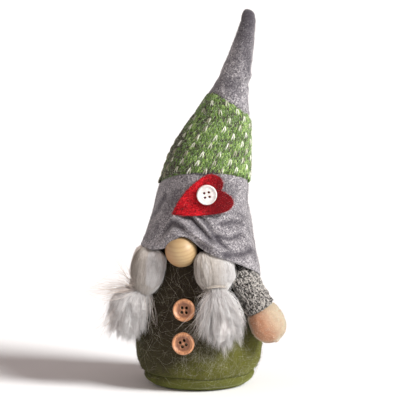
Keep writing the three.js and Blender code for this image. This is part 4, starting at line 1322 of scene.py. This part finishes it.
def combed_fibres(skin, rng, count, length, lift, tone_centre, width, name, sway=8.0):
    """Fibres combed down a lobe: they lie along its surface, arch off it and close in again."""
    steps = 8
    share = np.linspace(0, 1, steps)
    turns = rng.uniform(0, 360, count)
    span = skin.high - skin.low
    starts = skin.high - span * rng.uniform(0.0, 0.8, count)
    reach = np.minimum(length * rng.uniform(0.7, 1.2, count), starts - skin.low + 2.0)
    height = starts[:, None] - reach[:, None] * share
    round_lobe = [np.sin(np.radians(turns)) * 2, np.cos(np.radians(turns)) * 2, starts / 9]
    drift = lumps(np.stack(round_lobe, -1), 1.0, 1.0)
    turn = turns[:, None] + (sway * drift[:, None] + rng.normal(0, 4.0, (count, 1))) * share
    stray = (rng.random((count, 1)) < 0.12) * rng.uniform(0.5, 3.0, (count, 1)) * share ** 2
    arch = lift * rng.uniform(0.1, 1.0, (count, 1)) * np.sin(share * math.pi * 0.9)
    height = np.clip(height, skin.low + 0.05, skin.high - 0.05)
    paths = skin.points(turn, height, arch + stray + rng.uniform(-0.2, 0.3, (count, 1)))
    grain = lumps(np.stack([turns / 11, starts / 30, 0 * turns], -1), 1.0, 3.0)
    tone = np.clip(tone_centre + 0.30 * grain + rng.normal(0, 0.2, count), 0, 1)
    return strands(name, paths, width, rng, 0.75, tone)


# The two lobes that lie in shade, by side and place: their fur and its middle tone.
LOBE_LOOKS = {("right", "outer"): (WARM_SHADE_FUR, 0.58), ("left", "inner"): (SHADED_FUR, 0.30)}


def make_lobe(side, place, seed):
    node = f"{side}_braid_strand_{place}"
    skin = limb_skin([node], f"{side}_braid_lift", node, 24, (0.02, 0.02))
    body = f"{side}_braid"
    columns = 90
    turns = even_turns(columns)
    span = skin.high - skin.low
    rings = []
    for share in (1 - np.cos(np.linspace(0.08, math.pi - 0.08, 44))) / 2:
        height = np.full(columns, skin.low + span * share)
        flat = skin.points(turns, height)
        groove = 0.12 * np.sin(np.radians(turns * 13) + 5 * lumps(flat, 9.0, seed))
        lift = (0.6 + 0.5 * lumps(flat, 7.0, seed + 2.0) + groove) * math.sin(math.pi * share) ** 0.5
        rings.append(skin.points(turns, height, lift))
    material, tone_centre = LOBE_LOOKS.get((side, place), (FUR, 0.58))
    # painted shade: the core is toned darker than the fur over it, as the shade inside the lobe
    core = new_object(f"{side}_lobe_{place}", *skin_mesh(rings, poles=(True, True)),
                      tone=np.full(44 * columns + 2, 0.6 * tone_centre))
    dress(core, material, body, "white_fur", node)
    rng = np.random.default_rng(seed)
    fur = combed_fibres(skin, rng, 4100, 18.0, 2.2, tone_centre, 0.26, f"{side}_lobe_{place}_fur")
    dress(fur, material, body, "white_fur")


def make_braid_veil(side, seed):
    """Fur that lies over both lobes of a braid, merges them, and covers the tie."""
    points = np.concatenate([node_points(f"{side}_braid_strand_{place}") for place in ("inner", "outer")])
    placed = points @ FRONT_AXES.T
    low, high = placed.min(axis=0), placed.max(axis=0)
    low[2] -= 5.0
    middle, half = (low + high) / 2, (high - low) / 2 + (0.6, -0.6, 0.0)
    tie = node_points(f"{side}_braid_tie").mean(axis=0) @ FRONT_AXES.T
    rng = np.random.default_rng(seed)
    count, steps = 5600, 6
    share = np.linspace(0, 1, steps)
    around = rng.normal(0, 0.62, (count, 1)) + rng.normal(0, 0.07, (count, 1)) * share
    begin = rng.uniform(0.10, 0.64, (count, 1))
    along = math.pi * np.clip(begin + rng.uniform(0.25, 0.5, (count, 1)) * share, 0.02, 0.97)
    frizz = (rng.random((count, 1)) < 0.2) * rng.gamma(1.6, 1.0, (count, 1)) * share ** 2
    lift = 1.0 + 0.02 * frizz + rng.uniform(-0.05, 0.05, (count, 1))
    slide = (tie - middle)[0] * smoothstep(along, 1.6, 3.1)
    across = half[0] * np.sin(along) * np.sin(around) * lift + slide + frizz * np.sign(np.sin(around)) * 0.5
    ahead = half[1] * np.sin(along) * np.cos(around) * lift + frizz * 0.5
    up = half[2] * np.cos(along)
    paths = (np.stack([across, ahead, up], -1) + middle) @ FRONT_AXES
    # painted shade and light: the fibres darken towards the veil's -X side, away from the key light
    tone = 0.54 + 0.46 * np.sin(around[:, 0]) + rng.normal(0, 0.16, count)
    fur = strands(f"{side}_braid_veil", paths, 0.20, rng, 0.85, np.clip(tone, 0, 1))
    dress(fur, SHADED_FUR, f"{side}_braid", "white_fur")


def make_tie(side):
    """Thread wound round the neck of the braid, with its two short ends."""
    node = f"{side}_braid_tie"
    skin = limb_skin([node], f"{side}_braid_lift", f"{side}_braid_strand_inner", 3, (0.3, 0.3))
    middle = (skin.low + skin.high) / 2
    steps = 150
    share = np.linspace(0, 1, steps)
    turns = 360 * 3.4 * share + 200
    height = middle + 1.1 * (share - 0.5) * 2 + 0.12 * np.sin(share * 31)
    path = skin.points(turns, height, 0.05 + 0.15 * np.sin(share * 23))
    points, quads, triangles = tubes(path[None], np.full((1, steps), 0.34), 8)
    obj = new_object(f"{side}_tie_thread", points, quads, triangles)
    dress(obj, THREAD, f"{side}_braid", "tie_thread", node)


class Tuft:
    """A tassel of fur: it springs from the tie and fills an oval, given in the front's axes."""

    def __init__(self, side, middle, half, seed, sparse=0.0, spring=1.0):
        self.side, self.seed, self.sparse, self.spring = side, seed, sparse, spring
        low, high = (np.array(corner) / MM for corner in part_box(f"{side}_braid_tie"))
        self.root = (low + high) / 2 - (0, 0, 1.2)
        self.middle = np.array(middle) @ FRONT_AXES
        self.half = np.array(half, float)

    def ends(self, directions, share):
        taper = 1 - (1 - self.spring) * 0.6 * smoothstep(directions[:, 2], -0.4, 0.7)
        share = np.stack([share * taper, np.minimum(share, 1.05) * taper, share], -1)
        return self.middle + (directions * self.half * share) @ FRONT_AXES

    def fibres(self, count, rng, inner, droop, clumps, pull=0.6):
        """Paths that leave the tie sideways, arch over and hang down to their ends in locks."""
        steps = 8
        t = np.linspace(0, 1, steps)[None, :, None]
        directions = unit(rng.normal(0, 1, (count, 3)))
        directions[:, 2] = np.where(directions[:, 2] > 0.45, -directions[:, 2], directions[:, 2])
        share = rng.uniform(inner, 1.0, count) + 0.5 * (rng.random(count) < 0.2) * rng.random(count)
        thin = (directions[:, 0] < 0.1) & (rng.random(count) < self.sparse)
        directions[thin, 0] = np.abs(directions[thin, 0])
        start = self.root + rng.normal(0, 1, (count, 3)) * (2.2, 2.2, 1.0)
        end = self.ends(directions, share)
        gap = end - start
        level = gap * (1, 1, 0)
        first = start + level * self.spring * rng.uniform(0.25, 0.7, (count, 1)) + gap * (0, 0, 0.12)
        outward = unit(directions * (1, 1, 0) + 1e-3) @ FRONT_AXES
        length = np.linalg.norm(gap, axis=1, keepdims=True)
        last = end + (UPWARD * droop - outward * 0.12) * length * rng.uniform(0.25, 0.5, (count, 1))
        paths = (1 - t) ** 3 * start[:, None] + 3 * (1 - t) ** 2 * t * first[:, None]
        paths = paths + 3 * (1 - t) * t ** 2 * last[:, None] + t ** 3 * end[:, None]
        leaders = rng.integers(0, count, clumps)
        distance = np.linalg.norm(end[:, None] - end[None, leaders], axis=-1)
        leader = leaders[distance.argmin(axis=1)]
        paths = paths + (paths[leader] - paths) * pull * t ** 2.5
        paths = paths + rng.normal(0, 0.5, (count, 1, 3)) * t
        depth = np.clip((share - inner) / (1 - inner), 0, 1)
        return paths, depth, directions

    def make(self):
        body = f"{self.side}_tuft"
        node = f"{self.side}_braid_tuft"
        rng = np.random.default_rng(self.seed)
        self.core(body, node)
        for name, count, inner, width, base in TUFT_COATS:
            paths, depth, directions = self.fibres(count, rng, inner, 0.9, 75, 0.7)
            # painted shade on fibres that point to the -X side, away from the key light
            turned_from_light = smoothstep(-directions[:, 0], 0.2, 0.8)
            shade = 0.30 * lumps(directions * 2.0, 1.0, self.seed) - 0.22 * turned_from_light
            tone = np.clip(base + 0.2 * depth + shade + rng.normal(0, 0.16, count), 0, 1)
            fur = strands(f"{self.side}_tuft_{name}", paths, width, rng, 0.8, tone)
            dress(fur, FUR, body, "white_fur")

    def core(self, body, node):
        """The dense inside of the tassel, which the fibres hide."""
        columns = 72
        angles = np.arange(columns) * 2 * math.pi / columns
        rings = []
        for height in np.radians(np.linspace(84, -84, 30)):
            directions = np.stack([math.cos(height) * np.cos(angles), -math.cos(height) * np.sin(angles),
                                   np.full(columns, math.sin(height))], -1)
            narrowed = self.sparse * 0.45 * smoothstep(-directions[:, 0], -0.2, 0.8)
            points = self.ends(directions, 0.66 - narrowed + 0.06 * lumps(directions * 4.0, 1.0, self.seed))
            towards_tie = smoothstep(math.sin(height), 0.2, 1.0) * 0.75
            rings.append(points + (self.root - points) * towards_tie)
        # painted shade: the core is toned darker than the fibres over it, as the shade inside the tassel
        core = new_object(f"{self.side}_tuft_core", *skin_mesh(rings[::-1], poles=(True, True)),
                          tone=np.full(30 * columns + 2, 0.35))
        dress(core, FUR, body, "white_fur", node)

    def wisps(self, specs):
        """Loose locks, listed as in LEFT_LOCKS, from the tie and in the front view's axes."""
        rng = np.random.default_rng(self.seed + 50)
        t = np.linspace(0, 1, 11)[None, :, None]
        every = []
        for start, heading, length, count, spread, sag in specs:
            root = self.root + (np.array(start) + rng.normal(0, 1.6, (count, 3))) @ FRONT_AXES
            aim = unit(unit(np.array(heading, float)) + rng.normal(0, spread, (count, 3))) @ FRONT_AXES
            reach = rng.uniform(0.55, 1.0, (count, 1, 1)) * length
            bow = rng.normal(0, 0.10, (count, 1, 3)) * length * np.sin(math.pi * t)
            drop = -UPWARD * rng.uniform(0.4, 1.3, (count, 1, 1)) * sag * length * t ** 2
            every.append(root[:, None] + aim[:, None] * reach * t + drop + bow)
        paths = np.concatenate(every)
        obj = strands(f"{self.side}_wisps", paths, 0.22, rng, 0.8, rng.uniform(0.0, 1.0, len(paths)))
        dress(obj, WARM_SHADE_FUR, f"{self.side}_tuft", "white_fur")


# ---------------------------------------------------------------- hidden pieces, floor, light, camera


def finish_hidden_nodes():
    """Materials for the pieces that the covers hide."""
    for node, material in (
        ("body_stuffing", FILL), ("hat_stuffing", FILL), ("hat_tip_stuffing", FILL),
        ("left_arm_stuffing", FILL), ("right_arm_stuffing", FILL), ("base_disc", CARD),
        ("pellet_bag", COTTON), ("hat_wire_lower", WIRE_METAL), ("hat_wire_upper", WIRE_METAL),
    ):
        frame["nodes"][node].data.materials.clear()
        frame["nodes"][node].data.materials.append(material)


def add_floor():
    """A pale floor, wide enough to fill the view behind the gnome."""
    reach = 9000.0
    points = [(-reach, -reach, 0), (reach, -reach, 0), (reach, reach, 0), (-reach, reach, 0)]
    obj = new_object("floor", points, [(0, 1, 2, 3)])
    obj.data.materials.append(floor_material())


def add_sun(name, azimuth, elevation, spread, power, colour):
    """A broad, distant, soft light from one side."""
    light = bpy.data.lights.new(name, "SUN")
    light.angle, light.energy, light.color = math.radians(spread), power, colour
    obj = bpy.data.objects.new(name, light)
    a, e = math.radians(azimuth), math.radians(elevation)
    away = Vector((math.sin(a) * math.cos(e), -math.cos(a) * math.cos(e), math.sin(e)))
    obj.rotation_euler = away.to_track_quat("Z", "Y").to_euler()
    SCENE.collection.objects.link(obj)


def add_camera(azimuth=15.0, elevation=10.0, frame_width=0.316, lens=600.0):
    """The view: a long lens, with a square frame of the given width at the gnome."""
    camera = bpy.data.cameras.new("view")
    camera.lens, camera.sensor_width = lens, 36.0
    distance = frame_width * lens / camera.sensor_width
    obj = bpy.data.objects.new("view", camera)
    a, e = math.radians(azimuth), math.radians(elevation)
    away = Vector((math.sin(a) * math.cos(e), -math.cos(a) * math.cos(e), math.sin(e)))
    up = Vector((-math.sin(a) * math.sin(e), math.cos(a) * math.sin(e), math.cos(e)))
    right = Vector((math.cos(a), math.sin(a), 0))
    target = up * 0.1438 + right * 0.0008
    obj.location = target + away * distance
    obj.rotation_euler = away.to_track_quat("Z", "Y").to_euler()
    SCENE.collection.objects.link(obj)
    SCENE.camera = obj


def add_world():
    """A dim sky with a bright band at the horizon, like a lit backdrop."""
    world = bpy.data.worlds.new("studio")
    world.use_nodes = True
    nodes, links = world.node_tree.nodes, world.node_tree.links
    direction = nodes.new("ShaderNodeSeparateXYZ")
    links.new(nodes.new("ShaderNodeTexCoord").outputs["Generated"], direction.inputs[0])
    rise = nodes.new("ShaderNodeMath")
    rise.operation = "ABSOLUTE"
    links.new(direction.outputs["Z"], rise.inputs[0])
    band = nodes.new("ShaderNodeValToRGB")
    band.color_ramp.elements[0].position, band.color_ramp.elements[0].color = 0.10, (1.0, 1.0, 1.0, 1)
    band.color_ramp.elements[1].position, band.color_ramp.elements[1].color = 0.32, (0.30, 0.25, 0.24, 1)
    links.new(rise.outputs[0], band.inputs["Fac"])
    links.new(band.outputs["Color"], nodes["Background"].inputs["Color"])
    SCENE.world = world
    SCENE.view_settings.view_transform = "Standard"


# ---------------------------------------------------------------- assembly

add_camera()
add_world()
add_floor()
add_sun("key", 76, 34, 22, 5.0, (1.0, 0.995, 0.985))
add_sun("warm_fill", -50, 20, 60, 0.35, (1.0, 0.80, 0.70))

make_body()
make_base()
body_pile = pile_fibres("body_pile", 18400, BODY_SEAM + 1.6, 118, 71, 1.5)
dress(body_pile, PILE_FIBRE, "gnome_body", "olive_plush")
base_pile = pile_fibres("base_pile", 2600, 1.0, BODY_SEAM - 1.4, 72, 1.4, 0.0)
dress(base_pile, PILE_FIBRE, "gnome_body", "green_plush")
stray_fibres()

make_brim()
make_knit_wall()
make_stitches()
make_tip()
make_hat_fuzz()
make_heart()
make_nose()
make_button("heart_pale_button", "heart_button", PALE_BUTTON, 10, PALE_PLASTIC, "pale_button")
make_button("coat_wood_button_upper", "coat_button_upper", WOOD_BUTTON, 0, BUTTON_WOOD, "button_wood")
make_button("coat_wood_button_lower", "coat_button_lower", WOOD_BUTTON, 30, BUTTON_WOOD, "button_wood")

for arm_side in ("left", "right"):
    make_arm(arm_side)
    for strand_index, strand_place in enumerate(("inner", "outer")):
        make_lobe(arm_side, strand_place, BRAID_SEEDS[arm_side] + strand_index)
    make_braid_veil(arm_side, BRAID_SEEDS[arm_side] + 4)
    make_tie(arm_side)
left_tuft = Tuft("left", (16.6, 54.0, 59.0), (19.5, 9.5, 25.0), 101, sparse=0.5, spring=0.5)
left_tuft.make()
left_tuft.wisps(LEFT_LOCKS)
right_tuft = Tuft("right", (-56.0, 27.0, 59.0), (17.0, 15.0, 22.5), 102)
right_tuft.make()
right_tuft.wisps(RIGHT_LOCKS)
finish_hidden_nodes()
